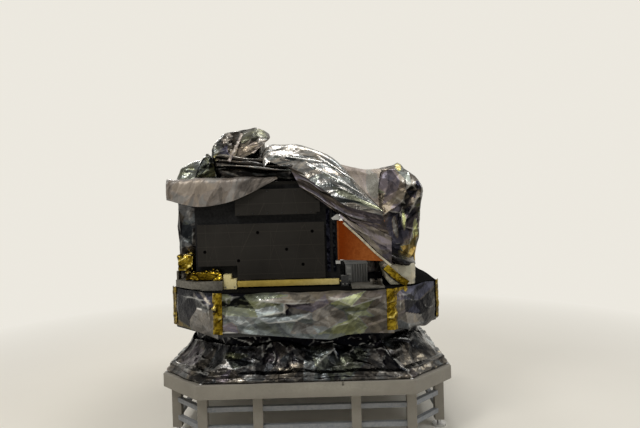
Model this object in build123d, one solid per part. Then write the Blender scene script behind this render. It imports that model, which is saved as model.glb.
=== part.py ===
from build123d import *
import math
import os

# A small science satellite on its support stand, partly dressed in thermal film.
# Millimetres. +Z is up, the front is towards -Y, and the origin is the centre of
# the stand's footprint on the floor. A pair of numbers is a low and a high end.

# Stand
PLINTH_ACROSS = 1930
PLINTH_CHAMFER = 285
PLINTH_Z = (320, 410)
PLINTH_EDGE = 5
PLINTH_HOLE_RADIUS = 480
PLINTH_NOTCH_X = (221, 235)
PLINTH_NOTCH_DEPTH = 12
PLINTH_NOTCH_HEIGHT = 24
POST_SIZE = 60
POST_FAR = 880
POST_CORNER = 660
POST_MID = 310
POST_BOTTOM = 45
RAIL_SIZE = 30
RAIL_HEIGHTS = (110, 230)
FOOT_RADIUS = 48
FOOT_SIDES = 12
FOOT_THICKNESS = 15
FOOT_STEM_RADIUS = 14
ANCHOR_RADIUS = 7
ANCHOR_OFFSET = 28

# Bus, an octagon seen from above
RING_TOP = 470
RING_RADII = (540, 600)
LOWER_BAY_ACROSS = 1560
LOWER_BAY_CHAMFER = 322
BAND_ACROSS = 1800
BAND_CHAMFER = 352
BAND_BOTTOM = 690
DECK_THICKNESS = 25
DECK_TOP = 970
WALL = 20
BLANKET_THICKNESS = 25
BLANKET_LIP = 15
SKIRT_BOTTOM_ACROSS = 1900
SKIRT_BOTTOM_CHAMFER = 300
SKIRT_TOP = 612
SKIRT_THICKNESS = 25

# Upper bay
BAY_X = (-720, 240)
BAY_DEPTH = 1380
BAY_TOP = 1670
COVER_X = (-445, 94)
COVER_Z = (1450, 1620)
COVER_STRIP_X = (80, 115)
COVER_STRIP_Z = (1462, 1540)
COVER_STRIP_THICKNESS = 8

# Wings, each folded up against the bay's front or rear
WING_X = (-700, 140)
WING_Z = (1026, 1395)
WING_THICKNESS = 20
WING_FACE = 725
NOTCH_RIGHT = -440
NOTCH_TOP = 1120
CELL_THICKNESS = 1.5
CELL_GAP = 4
CELL_BORDER = 14
CELL_FIELDS = [
    # left, right, bottom, columns, rows
    (-700, -440, 1120, 3, 3),
    (-440, 140, 1046, 7, 4),
]
HINGE_OUT = 728
HINGE_HEIGHT = 1000
HINGE_RAIL_X = (-440, 235)
HINGE_RAIL_SIZE = (24, 38)
HINGE_RAIL_BEVEL = 8
HINGE_PIN_RADIUS = 6
HINGE_PIN_LENGTH = 30
RUNNING_GAP = 0.05
STRAP_PLACES = (-380, -150, 80)
STRAP_WIDTH = 44
STRAP_THICKNESS = 4
STRAP_TOP = 1050
BEARING_DEPTH = 60
BEARING_LEFT_X = (-530, -446)
BEARING_LEFT_TOP = 1064
BEARING_STEP_LEFT = -482
BEARING_STEP_HEIGHT = 1034
BEARING_RIGHT_X = (241, 291)
BEARING_RIGHT_TOP = 1036

# Cover door of the corner compartment, standing open
DOOR_HINGE = (232, -735)
DOOR_LENGTH = 330
DOOR_Z = (1143, 1400)
DOOR_THICKNESS = 8
DOOR_OPEN_DEG = 30
DOOR_KNUCKLE_RADIUS = 8
DOOR_PIN_RADIUS = 4
DOOR_PIN_LENGTH = 26
UPPER_BRACKET = [
    # distance from the pin's axis, height above the door
    (-36, 6), (14, 6), (20, 24), (-6, 44), (-44, 18),
]
LATCH_ARM_X = (520, 536)
LATCH_ARM_Y = (-725, -562)
LATCH_ARM_Z = (1255, 1285)

# Ribbed electronics box
BOX_X = (276, 424)
BOX_Y = (-650, -450)
BOX_Z = (980, 1100)
BOX_LID_THICKNESS = 8
BOX_LIP = 4
BOX_FOOT = 14
CONNECTOR_COLUMN_X = (276, 318)
CONNECTOR_PLACES = (1000, 1038, 1076)
CONNECTOR_WIDTH = 28
CONNECTOR_HEIGHT = 12
CONNECTOR_DEPTH = 7
RIB_FIRST = 332
RIB_STEP = 17
RIB_COUNT = 6
RIB_DEPTH = 14
RIB_ROOT = 8
RIB_TIP = 4

# Wrapped actuator on its bracket, at the left front corner of the deck
SHELF_X = (-870, -532)
SHELF_Y = (-790, -560)
SHELF_TOP = 1028
SHELF_OVERHANG = 50
EYE_PLATE_X = (-866, -854)
EYE_PLATE_Y = (-640, -560)
EYE_PLATE_TOP = 1086
EYE_RADIUS = 10
EYE_PLACE = (-600, 1055)
ACTUATOR_HEAD = ((-850, -738), (-690, -566), (1090, 1205))
ACTUATOR_NECK = ((-790, -738), (-720, -580), (1028, 1090))
ACTUATOR_TAIL = ((-738, -536), (-770, -700), (1028, 1096))

# Clevis at the deck's front edge
CLEVIS_PLATE = ((306, 512), (-880, -672), (970, 982))
CLEVIS_LUGS = ((430, 456), (478, 506))
CLEVIS_Y = (-800, -748)
CLEVIS_TOP = 1014
CLEVIS_PIN_HEIGHT = 998
CLEVIS_PIN_RADIUS = 6

# Wrapped instrument at the right
TOWER_LEVELS = [
    # height, left, right, front, rear, corner cut
    (970, 505, 775, -560, -190, 40),
    (1600, 500, 850, -560, -190, 50),
    (1690, 506, 805, -555, -200, 50),
    (1742, 522, 735, -540, -240, 40),
    (1790, 655, 695, -470, -350, 10),
]
POUCH_Y = (-790, -566)
POUCH_SIDE = [(505, 1100), (530, 1010), (562, 972), (728, 972), (732, 1112), (515, 1112)]

# Units at the left and the rear
LEFT_UNIT = ((-893, -720), (-520, 420), (970, 1650))
REAR_UNIT = ((300, 800), (-150, 500), (970, 1380))
REAR_BOX = ((330, 500), (620, 760), (970, 1150))

# Loose blankets over the top
SHEET_THICKNESS = 25
PEAK_LEVELS = [
    # height, left, right, front, rear, corner cut
    (1695, -640, -236, -640, -150, 60),
    (1850, -660, -255, -610, -210, 70),
    (2010, -615, -290, -540, -330, 50),
    (2055, -430, -335, -470, -395, 20),
]
CRUMPLE_LEVELS = [
    # height, left, right, front, rear, corner cut
    (1695, -850, -650, -700, -350, 40),
    (1780, -830, -655, -680, -370, 40),
    (1830, -745, -675, -600, -450, 20),
]
HUMP_SECTIONS = [
    # x, shoulder height, ridge height
    (-235, 1775, 1905),
    (-60, 1800, 1925),
    (120, 1770, 1868),
    (262, 1725, 1785),
]
HUMP_Y = (-735, -60)
RIDGE_Y = (-600, -300)
FLAP_BEFORE_DOOR = (-44, -22)
FLAP_EDGE = [
    # distance along the open door from its hinge, height
    (-82, 1700), (30, 1742), (308, 1490), (368, 1310), (376, 1145), (338, 1145), (268, 1210), (18, 1420),
]
BRIDGE_Y = (-600, -200)
BRIDGE_EDGE = [
    # x, height
    (241, 1640), (496, 1500), (496, 1735), (268, 1782), (268, 1694), (241, 1694),
]


def octagon_corners(across, chamfer):
    half = across / 2
    side = half - chamfer
    corners = [(side, -half), (half, -side), (half, side), (side, half)]
    return corners + [(-x, -y) for x, y in corners]


def set_out(across, chamfer, distance):
    """The octagon whose eight sides all stand out by the same distance."""
    return across + 2 * distance, chamfer + (2 - math.sqrt(2)) * distance


def outline(points, z):
    return Pos(0, 0, z) * make_face(Polyline(*points, close=True))


def octagon(across, chamfer, z=0):
    return outline(octagon_corners(across, chamfer), z)


def prism(face, height):
    return extrude(face, amount=height, dir=(0, 0, 1))


def profile(points, y):
    """A solid with an outline in x and z, between two places in y."""
    face = Plane.XZ * make_face(Polyline(*points, close=True))
    return Pos(0, y[0], 0) * extrude(face, amount=y[1] - y[0], dir=(0, 1, 0))


def block(x, y, z):
    size = [high - low for low, high in (x, y, z)]
    centre = [(low + high) / 2 for low, high in (x, y, z)]
    return Pos(*centre) * Box(*size)


def rod(axis, radius, start, length):
    turn = {"x": Rot(0, 90, 0), "y": Rot(-90, 0, 0), "z": Rot(0, 0, 0)}[axis]
    bottom = (Align.CENTER, Align.CENTER, Align.MIN)
    return Pos(*start) * turn * Cylinder(radius, length, align=bottom)


def ring_at(height, left, right, front, rear, corner):
    """Eight points of a rectangle with cut corners."""
    flat = [
        (left + corner, front), (right - corner, front), (right, front + corner), (right, rear - corner),
        (right - corner, rear), (left + corner, rear), (left, rear - corner), (left, front + corner),
    ]
    return [(x, y, height) for x, y in flat]


def faceted(rings):
    """A flat-faced solid through rings of points, with the same number of points in each."""
    def flat(points):
        return Face(Wire.make_polygon([Vector(*point) for point in points], close=True))

    faces = [flat(rings[0]), flat(rings[-1])]
    for low, high in zip(rings, rings[1:]):
        for index, corner in enumerate(low):
            after = (index + 1) % len(low)
            faces.append(flat([corner, low[after], high[after]]))
            faces.append(flat([corner, high[after], high[index]]))
    return Solid(Shell(faces))


def save(node, *solids):
    shape = solids[0] if len(solids) == 1 else Compound(children=list(solids))
    export_step(shape, f"parts/{node}.step")


def turned(shape, rear):
    """The front piece as it is, or its mirror image at the rear."""
    return shape.mirror(Plane.XZ) if rear else shape


# Support stand

def post_places():
    """Post centres in order round the stand."""
    front = [(x, -POST_FAR) for x in (-POST_CORNER, -POST_MID, POST_MID, POST_CORNER)]
    side = [(POST_FAR, y) for y in (-POST_CORNER, POST_CORNER)]
    rear = [(-x, -y) for x, y in front]
    other = [(-x, -y) for x, y in side]
    return front + side + rear + other


def make_plinth():
    low, high = PLINTH_Z
    plinth = prism(octagon(PLINTH_ACROSS, PLINTH_CHAMFER, low), high - low)
    plinth = chamfer(plinth.faces().sort_by(Axis.Z)[-1].edges(), PLINTH_EDGE)
    plinth -= rod("z", PLINTH_HOLE_RADIUS, (0, 0, low), high - low)
    front = -PLINTH_ACROSS / 2
    plinth -= block(PLINTH_NOTCH_X, (front, front + PLINTH_NOTCH_DEPTH), (high - PLINTH_NOTCH_HEIGHT, high))
    save("stand_plinth", plinth)


def make_frame():
    half = POST_SIZE / 2
    places = post_places()
    rise = (POST_BOTTOM, PLINTH_Z[0])
    posts = [block((x - half, x + half), (y - half, y + half), rise) for x, y in places]
    save("stand_posts", *posts)

    rails = []
    for index, (x, y) in enumerate(places):
        next_index = (index + 1) % len(places)
        next_x, next_y = places[next_index]
        run = math.hypot(next_x - x, next_y - y)
        turn = math.degrees(math.atan2(next_y - y, next_x - x))
        for height in RAIL_HEIGHTS:
            middle = Pos((x + next_x) / 2, (y + next_y) / 2, height)
            rail = middle * Rot(0, 0, turn) * Box(run, RAIL_SIZE, RAIL_SIZE)
            rails.append(rail - posts[index] - posts[next_index])
    save("stand_rails", *rails)


def make_feet():
    """A plate and a hexagonal stem under each post, bored for an anchor bolt at the corners."""
    feet = []
    for x, y in post_places():
        foot = Pos(x, y, 0) * extrude(RegularPolygon(FOOT_RADIUS, FOOT_SIDES), amount=FOOT_THICKNESS)
        stem = extrude(RegularPolygon(FOOT_STEM_RADIUS, 6), amount=POST_BOTTOM - FOOT_THICKNESS)
        foot += Pos(x, y, FOOT_THICKNESS) * stem
        if abs(x) == POST_CORNER:
            hole_x = math.copysign(abs(x) - ANCHOR_OFFSET, x)
            foot -= rod("z", ANCHOR_RADIUS, (hole_x, y, 0), FOOT_THICKNESS)
        feet.append(foot)
    save("stand_feet", *feet)


# Bus

def make_bus():
    low = PLINTH_Z[1]
    ring = rod("z", RING_RADII[1], (0, 0, low), RING_TOP - low)
    save("adapter_ring", ring - rod("z", RING_RADII[0], (0, 0, low), RING_TOP - low))

    lower_bay = prism(octagon(LOWER_BAY_ACROSS, LOWER_BAY_CHAMFER, RING_TOP), BAND_BOTTOM - RING_TOP)
    save("lower_bay", lower_bay)
    lower_deck = prism(octagon(BAND_ACROSS, BAND_CHAMFER, BAND_BOTTOM), DECK_THICKNESS)
    save("lower_deck", lower_deck)
    wall_bottom = BAND_BOTTOM + DECK_THICKNESS
    wall_height = DECK_TOP - DECK_THICKNESS - wall_bottom
    walls = prism(octagon(BAND_ACROSS, BAND_CHAMFER, wall_bottom), wall_height)
    walls -= prism(octagon(*set_out(BAND_ACROSS, BAND_CHAMFER, -WALL), wall_bottom), wall_height)
    save("bus_walls", walls)
    upper_deck = prism(octagon(BAND_ACROSS, BAND_CHAMFER, DECK_TOP - DECK_THICKNESS), DECK_THICKNESS)
    save("upper_deck", upper_deck)


def make_band_blankets():
    """One film panel on each wall, mitred at the corners."""
    names = ["front_right", "right", "rear_right", "rear", "rear_left", "left", "front_left", "front"]
    inner = octagon_corners(BAND_ACROSS, BAND_CHAMFER)
    outer = octagon_corners(*set_out(BAND_ACROSS, BAND_CHAMFER, BLANKET_THICKNESS))
    for index, name in enumerate(names):
        after = (index + 1) % len(names)
        face = outline([inner[index], outer[index], outer[after], inner[after]], BAND_BOTTOM)
        save(f"band_blanket_{name}", prism(face, DECK_TOP - BLANKET_LIP - BAND_BOTTOM))


def make_skirt():
    """A tapering skirt between the lower bay and the plinth."""
    def tapered(bottom, top):
        return faceted([
            [(x, y, PLINTH_Z[1]) for x, y in octagon_corners(*bottom)],
            [(x, y, SKIRT_TOP) for x, y in octagon_corners(*top)],
        ])

    foot = (SKIRT_BOTTOM_ACROSS, SKIRT_BOTTOM_CHAMFER)
    head = (LOWER_BAY_ACROSS, LOWER_BAY_CHAMFER)
    outer = tapered(foot, set_out(*head, SKIRT_THICKNESS))
    inner = tapered(set_out(*foot, -SKIRT_THICKNESS), head)
    save("skirt_blanket", outer - inner)


# Upper bay

def make_upper_bay():
    half = BAY_DEPTH / 2
    left, right = BAY_X
    top_deck_bottom = BAY_TOP - WALL
    rise = (DECK_TOP, top_deck_bottom)
    inside = (-half + WALL, half - WALL)
    save("bay_front_wall", block(BAY_X, (-half, -half + WALL), rise))
    save("bay_rear_wall", block(BAY_X, (half - WALL, half), rise))
    save("bay_left_wall", block((left, left + WALL), inside, rise))
    save("bay_right_wall", block((right - WALL, right), inside, rise))
    save("bay_top_deck", block(BAY_X, (-half, half), (top_deck_bottom, BAY_TOP)))
    cover = block(COVER_X, (-WING_FACE, -half), COVER_Z)
    save("rear_cover_panel", turned(cover, True))
    strip = block(COVER_STRIP_X, (-WING_FACE - COVER_STRIP_THICKNESS, -WING_FACE), COVER_STRIP_Z)
    save("front_cover_panel", cover + strip)


# Wings

def hinge_rail():
    """A bar with a bevelled end and a pin at each end."""
    depth, height = HINGE_RAIL_SIZE
    left, right = HINGE_RAIL_X
    centre = Pos((left + right) / 2, -HINGE_OUT, HINGE_HEIGHT)
    rail = centre * Box(right - left, depth, height)
    rail = chamfer(rail.faces().sort_by(Axis.X)[-1].edges(), HINGE_RAIL_BEVEL)
    for start in (left - HINGE_PIN_LENGTH, right):
        rail += rod("x", HINGE_PIN_RADIUS, (start, -HINGE_OUT, HINGE_HEIGHT), HINGE_PIN_LENGTH)
    return rail


def wing_panel():
    """A flat panel, cut away at one corner to pass the bearing as it turns."""
    left, right = WING_X
    foot, tip = WING_Z
    points = [(NOTCH_RIGHT, foot), (right, foot), (right, tip), (left, tip)]
    points += [(left, NOTCH_TOP), (NOTCH_RIGHT, NOTCH_TOP)]
    return profile(points, (-WING_FACE, -WING_FACE + WING_THICKNESS))


def hinge_straps():
    """Angles that carry the panel: a foot on the rail and a leaf on the panel's inner face."""
    back = -WING_FACE + WING_THICKNESS
    rail_top = HINGE_HEIGHT + HINGE_RAIL_SIZE[1] / 2
    straps = []
    for x in STRAP_PLACES:
        across = (x - STRAP_WIDTH / 2, x + STRAP_WIDTH / 2)
        foot = block(across, (-WING_FACE, back + STRAP_THICKNESS), (rail_top, WING_Z[0]))
        leaf = block(across, (back, back + STRAP_THICKNESS), (WING_Z[0], STRAP_TOP - STRAP_THICKNESS))
        straps.append(foot + leaf)
    return straps


def solar_cells():
    back = -WING_FACE + WING_THICKNESS
    cells = []
    for left, right, bottom, columns, rows in CELL_FIELDS:
        width = (right - left - 2 * CELL_BORDER - (columns - 1) * CELL_GAP) / columns
        height = (WING_Z[1] - bottom - 2 * CELL_BORDER - (rows - 1) * CELL_GAP) / rows
        for column in range(columns):
            for row in range(rows):
                x = left + CELL_BORDER + column * (width + CELL_GAP)
                z = bottom + CELL_BORDER + row * (height + CELL_GAP)
                cells.append(block((x, x + width), (back, back + CELL_THICKNESS), (z, z + height)))
    return cells


def make_wing(side, rear):
    save(f"{side}_wing_panel", turned(wing_panel(), rear))
    save(f"{side}_wing_rail", turned(hinge_rail(), rear))
    save(f"{side}_wing_straps", *[turned(strap, rear) for strap in hinge_straps()])
    save(f"{side}_wing_cells", *[turned(cell, rear) for cell in solar_cells()])


def make_bearings(side, rear):
    """The two blocks on the deck that hold the rail's end pins."""
    depth = (-HINGE_OUT - 22, -HINGE_OUT - 22 + BEARING_DEPTH)
    reach = (BEARING_LEFT_X[0], BEARING_RIGHT_X[1])
    hole = rod("x", HINGE_PIN_RADIUS + RUNNING_GAP, (reach[0], -HINGE_OUT, HINGE_HEIGHT), reach[1] - reach[0])
    low, high = BEARING_LEFT_X
    step = BEARING_STEP_LEFT
    points = [(low, DECK_TOP), (high, DECK_TOP), (high, BEARING_STEP_HEIGHT), (step, BEARING_STEP_HEIGHT)]
    points += [(step, BEARING_LEFT_TOP), (low, BEARING_LEFT_TOP)]
    save(f"{side}_hinge_block_left", turned(profile(points, depth) - hole, rear))
    right = block(BEARING_RIGHT_X, depth, (DECK_TOP, BEARING_RIGHT_TOP))
    save(f"{side}_hinge_block_right", turned(right - hole, rear))


# Cover door

def make_door():
    x, y = DOOR_HINGE
    low, high = DOOR_Z
    panel = block((0, DOOR_LENGTH), (-DOOR_THICKNESS / 2, DOOR_THICKNESS / 2), DOOR_Z)
    panel += rod("z", DOOR_KNUCKLE_RADIUS, (0, 0, low), high - low)
    for start in (low - DOOR_PIN_LENGTH, high):
        panel += rod("z", DOOR_PIN_RADIUS, (0, 0, start), DOOR_PIN_LENGTH)
    save("cover_door", Pos(x, y, 0) * Rot(0, 0, -DOOR_OPEN_DEG) * panel)

    arm_y = (y - 14, -BAY_DEPTH / 2)
    under = low - DOOR_PIN_LENGTH
    lower = block((x - 22, x + 8), arm_y, (under, under + 20))
    upper = profile([(x + along, high + above) for along, above in UPPER_BRACKET], arm_y)
    hole = rod("z", DOOR_PIN_RADIUS + RUNNING_GAP, (x, y, under), high + 2 * DOOR_PIN_LENGTH - under)
    save("door_brackets", lower - hole, upper - hole)
    save("door_latch_post", block(LATCH_ARM_X, LATCH_ARM_Y, LATCH_ARM_Z))


# Equipment on the upper deck

def make_ribbed_box():
    """Finned housing with a lid, a base plate and a plain column of connectors."""
    foot_x = (BOX_X[0] - BOX_FOOT / 2, BOX_X[1] + BOX_FOOT / 2)
    foot_y = (BOX_Y[0] - BOX_FOOT, BOX_Y[1] + BOX_FOOT)
    box = block(foot_x, foot_y, (DECK_TOP, BOX_Z[0]))
    box += block(BOX_X, BOX_Y, BOX_Z)
    lid_x = (BOX_X[0] - BOX_LIP, BOX_X[1] + BOX_LIP)
    lid_y = (BOX_Y[0] - BOX_LIP, BOX_Y[1] + BOX_LIP)
    box += block(lid_x, lid_y, (BOX_Z[1], BOX_Z[1] + BOX_LID_THICKNESS))
    box += block(CONNECTOR_COLUMN_X, (BOX_Y[0] - RIB_DEPTH, BOX_Y[0]), BOX_Z)
    front, back = BOX_Y[0] - RIB_DEPTH, BOX_Y[0]
    root, tip = RIB_ROOT / 2, RIB_TIP / 2
    for index in range(RIB_COUNT):
        x = RIB_FIRST + index * RIB_STEP
        rib = [(x - root, back), (x - tip, front), (x + tip, front), (x + root, back)]
        box += prism(outline(rib, BOX_Z[0]), BOX_Z[1] - BOX_Z[0])
    middle = sum(CONNECTOR_COLUMN_X) / 2
    shell = (middle - CONNECTOR_WIDTH / 2, middle + CONNECTOR_WIDTH / 2)
    half = CONNECTOR_HEIGHT / 2
    for height in CONNECTOR_PLACES:
        box += block(shell, (front - CONNECTOR_DEPTH, front), (height - half, height + half))
    save("ribbed_electronics_box", box)


def make_actuator():
    """A film-wrapped drive on a shelf that reaches past the deck's edge, with a handling eye."""
    edge = (SHELF_X, SHELF_Y, (DECK_TOP, SHELF_TOP))
    reach = octagon(*set_out(BAND_ACROSS, BAND_CHAMFER, SHELF_OVERHANG), DECK_TOP)
    shelf = block(*edge) & prism(reach, SHELF_TOP - DECK_TOP)
    beyond = block(SHELF_X, SHELF_Y, (DECK_TOP, DECK_TOP + 12))
    beyond -= prism(octagon(*set_out(BAND_ACROSS, BAND_CHAMFER, 2), DECK_TOP), 12)
    bay = block((BAY_X[0] - 1, BAY_X[1]), (-BAY_DEPTH / 2 - 1, 0), (DECK_TOP, BAY_TOP))
    shelf -= beyond
    shelf -= bay
    plate = block(EYE_PLATE_X, EYE_PLATE_Y, (SHELF_TOP, EYE_PLATE_TOP))
    eye_y, eye_z = EYE_PLACE
    plate -= rod("x", EYE_RADIUS, (EYE_PLATE_X[0], eye_y, eye_z), EYE_PLATE_X[1] - EYE_PLATE_X[0])
    save("deck_bracket_left", shelf + plate)
    head = block(*ACTUATOR_HEAD)
    head = chamfer(head.edges().filter_by(Axis.Z), 12)
    save("wrapped_actuator", head + block(*ACTUATOR_NECK) + block(*ACTUATOR_TAIL))


def make_clevis():
    """A plate with two lugs and a cross pin, at the deck's front edge."""
    clevis = block(*CLEVIS_PLATE)
    for lug_x in CLEVIS_LUGS:
        lug = block(lug_x, CLEVIS_Y, (CLEVIS_PLATE[2][1], CLEVIS_TOP))
        clevis += chamfer(lug.faces().sort_by(Axis.Z)[-1].edges().filter_by(Axis.X), 10)
    pin_x = (CLEVIS_LUGS[0][1], CLEVIS_LUGS[1][0])
    place = (pin_x[0], sum(CLEVIS_Y) / 2, CLEVIS_PIN_HEIGHT)
    clevis += rod("x", CLEVIS_PIN_RADIUS, place, pin_x[1] - pin_x[0])
    save("deck_bracket_right", clevis)


def make_tower():
    save("wrapped_instrument", faceted([ring_at(*level) for level in TOWER_LEVELS]))
    edge = octagon(*set_out(BAND_ACROSS, BAND_CHAMFER, 30), DECK_TOP)
    save("instrument_pouch", profile(POUCH_SIDE, POUCH_Y) & prism(edge, TOWER_LEVELS[-1][0] - DECK_TOP))


def make_side_units():
    for node, sides, corner in (("left_wrapped_unit", LEFT_UNIT, 24), ("rear_wrapped_unit", REAR_UNIT, 30)):
        unit = block(*sides)
        save(node, chamfer(unit.edges().filter_by(Axis.Z), corner))
    save("rear_electronics_box", block(*REAR_BOX))


# Loose blankets over the top

def make_taupe_blanket():
    """A sheet over the bay that hangs down in front, with its right end cut on the slant."""
    top = (BAY_TOP, BAY_TOP + SHEET_THICKNESS)
    sheet = block((-905, -80), (-760, 250), top)
    sheet += block((-80, BAY_X[1]), (-BAY_DEPTH / 2, 250), top)
    hem = [(-905, 1550), (-680, 1512), (-500, 1530), (-108, BAY_TOP), (-905, BAY_TOP)]
    sheet += profile(hem, (-760, -735))
    save("taupe_blanket", sheet)


def make_top_blankets():
    make_taupe_blanket()
    low = BAY_TOP + SHEET_THICKNESS
    save("peak_blanket", faceted([ring_at(*level) for level in PEAK_LEVELS]))
    folds = profile([(-560, low), (-242, low), (-245, 1770), (-540, 1840), (-565, 1780)], (-735, -645))
    save("folded_blanket_left", folds, faceted([ring_at(*level) for level in CRUMPLE_LEVELS]))

    front, rear = HUMP_Y
    ridge_front, ridge_rear = RIDGE_Y
    sections = []
    for x, shoulder, ridge in HUMP_SECTIONS:
        sections.append([
            (x, front, low), (x, front, shoulder), (x, ridge_front, ridge),
            (x, ridge_rear, ridge - 20), (x, rear, low + 25), (x, rear, low),
        ])
    hump = faceted(sections)
    save("hump_blanket", hump)

    flap = profile(FLAP_EDGE, FLAP_BEFORE_DOOR)
    flap = Pos(*DOOR_HINGE, 0) * Rot(0, 0, -DOOR_OPEN_DEG) * flap
    save("flap_blanket", flap - hump)
    save("bridge_blanket", profile(BRIDGE_EDGE, BRIDGE_Y))


os.makedirs("parts", exist_ok=True)
make_plinth()
make_frame()
make_feet()
make_bus()
make_band_blankets()
make_skirt()
make_upper_bay()
for side, rear in (("front", False), ("rear", True)):
    make_wing(side, rear)
    make_bearings(side, rear)
make_door()
make_ribbed_box()
make_actuator()
make_clevis()
make_tower()
make_side_units()
make_top_blankets()
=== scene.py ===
import math

import bpy
import numpy as np
from mathutils import Matrix, Vector
from mathutils.geometry import delaunay_2d_cdt

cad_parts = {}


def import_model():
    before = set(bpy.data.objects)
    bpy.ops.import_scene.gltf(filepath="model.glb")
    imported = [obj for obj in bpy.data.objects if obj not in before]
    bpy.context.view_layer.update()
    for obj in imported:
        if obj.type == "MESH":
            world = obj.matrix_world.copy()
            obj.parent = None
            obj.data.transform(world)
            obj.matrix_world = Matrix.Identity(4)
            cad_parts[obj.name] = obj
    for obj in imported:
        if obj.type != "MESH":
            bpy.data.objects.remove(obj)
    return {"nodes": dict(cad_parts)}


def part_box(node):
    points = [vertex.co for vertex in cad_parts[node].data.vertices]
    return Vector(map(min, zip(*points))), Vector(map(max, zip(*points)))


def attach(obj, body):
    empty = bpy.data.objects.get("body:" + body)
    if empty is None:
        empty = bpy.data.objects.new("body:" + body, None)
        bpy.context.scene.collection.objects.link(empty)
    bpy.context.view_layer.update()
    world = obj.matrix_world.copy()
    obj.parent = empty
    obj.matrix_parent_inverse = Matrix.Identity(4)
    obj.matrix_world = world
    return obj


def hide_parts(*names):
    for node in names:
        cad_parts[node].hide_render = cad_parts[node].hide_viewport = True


# A small science satellite on its support stand, partly dressed in thermal film.
# Metres, in the CAD model's frame: +Z up, the front towards -Y.

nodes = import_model()["nodes"]
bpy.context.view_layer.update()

# Spacing of the points of a film's mesh
STEP = 0.0065
TAU = 2 * math.pi
# How much an octagon's corner cuts grow for each metre that its sides move out
CUT_GROWTH = 2 - math.sqrt(2)


def bounds_of(node):
    """Lowest and highest corner of a CAD node."""
    low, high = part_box(node)
    return np.array(low), np.array(high)


DECK_TOP = bounds_of("upper_deck")[1][2]
BAND_BOTTOM = bounds_of("lower_deck")[0][2]
BAND_HALF = bounds_of("upper_deck")[1][0]
BLANKET_HALF = -bounds_of("band_blanket_front")[0][1]
BLANKET_TOP = bounds_of("band_blanket_front")[1][2]
BLANKET_CHAMFER = BLANKET_HALF - bounds_of("band_blanket_front")[1][0]
BAND_CHAMFER = BLANKET_CHAMFER - CUT_GROWTH * (BLANKET_HALF - BAND_HALF)
PLINTH_TOP = bounds_of("stand_plinth")[1][2]
LOWER_HALF = bounds_of("lower_bay")[1][0]
# Corner cuts of the lower bay and of the skirt's foot, as in the CAD model
LOWER_CHAMFER = 0.322
SKIRT_CHAMFER = 0.300


def put(name, data):
    """A new object in the scene."""
    made = bpy.data.objects.new(name, data)
    bpy.context.scene.collection.objects.link(made)
    return made


def put_mesh(mesh, finish):
    """A new object of one material."""
    mesh.materials.append(materials[finish])
    return put(mesh.name, mesh)


# Camera, floor, world and lamps

CAMERA_PLACE = (0.115, -4.22, 1.5)
CAMERA_PITCH = 0.88
CAMERA_ROLL = -1.6
FOCAL_PIXELS = 530
FRAME_PIXELS = (640, 428)
SENSOR = 36.0
CAMERA_TURN = Matrix.Rotation(math.radians(90 - CAMERA_PITCH), 4, "X") @ Matrix.Rotation(
    math.radians(CAMERA_ROLL), 4, "Z")


def make_camera():
    camera = put("camera", bpy.data.cameras.new("camera"))
    camera.data.sensor_width = SENSOR
    camera.data.lens = FOCAL_PIXELS / FRAME_PIXELS[0] * SENSOR
    camera.matrix_world = Matrix.Translation(CAMERA_PLACE) @ CAMERA_TURN
    bpy.context.scene.camera = camera


def point_on(across, down, place, outward):
    """The point of a plane that shows at a place in the photograph's frame."""
    right, up = across - FRAME_PIXELS[0] / 2, FRAME_PIXELS[1] / 2 - down
    sight = (right / FOCAL_PIXELS, up / FOCAL_PIXELS, -1)
    ray = np.array(CAMERA_TURN.to_3x3() @ Vector(sight))
    start, outward = np.array(CAMERA_PLACE), np.array(outward)
    return start + ((place - start) @ outward) / (ray @ outward) * ray


def point_at(across, down, depth):
    """The point at y = depth that shows at a place in the photograph's frame."""
    return point_on(across, down, np.array((0, depth, 0)), (0, 1, 0))


LAMPS = [
    # name, place, aim, width, height, watts, colour
    ("key", (-1.9, -2.6, 4.0), (0.0, -0.3, 1.2), 1.1, 0.8, 58, (1.0, 0.97, 0.92)),
    ("top", (0.5, 0.3, 4.6), (0.0, -0.2, 1.2), 2.0, 1.0, 58, (1.0, 0.98, 0.95)),
    ("side", (3.4, -2.2, 2.8), (0.2, -0.3, 1.1), 0.7, 1.4, 24, (0.92, 0.96, 1.0)),
    ("back", (-1.6, 3.6, 3.4), (0.0, 0.2, 1.2), 1.6, 1.0, 40, (1.0, 0.98, 0.95)),
]


def make_lamps():
    for name, place, aim, width, height, watts, colour in LAMPS:
        light = bpy.data.lights.new(name, "AREA")
        light.shape = "RECTANGLE"
        light.size = width
        light.size_y = height
        light.energy = watts
        light.color = colour
        lamp = put(name, light)
        lamp.location = place
        lamp.rotation_mode = "QUATERNION"
        lamp.rotation_quaternion = (Vector(aim) - Vector(place)).to_track_quat("-Z", "Y")


BACKGROUND = (0.84, 0.81, 0.74, 1)
SKY_LEVEL = 0.42


def seen_ray(tree):
    """1 for camera, glossy and transmission rays."""
    path = tree.nodes.new("ShaderNodeLightPath")
    seen = path.outputs["Is Camera Ray"]
    for ray in ("Is Glossy Ray", "Is Transmission Ray"):
        either = tree.nodes.new("ShaderNodeMath")
        either.operation = "MAXIMUM"
        tree.links.new(seen, either.inputs[0])
        tree.links.new(path.outputs[ray], either.inputs[1])
        seen = either.outputs[0]
    return seen


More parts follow.
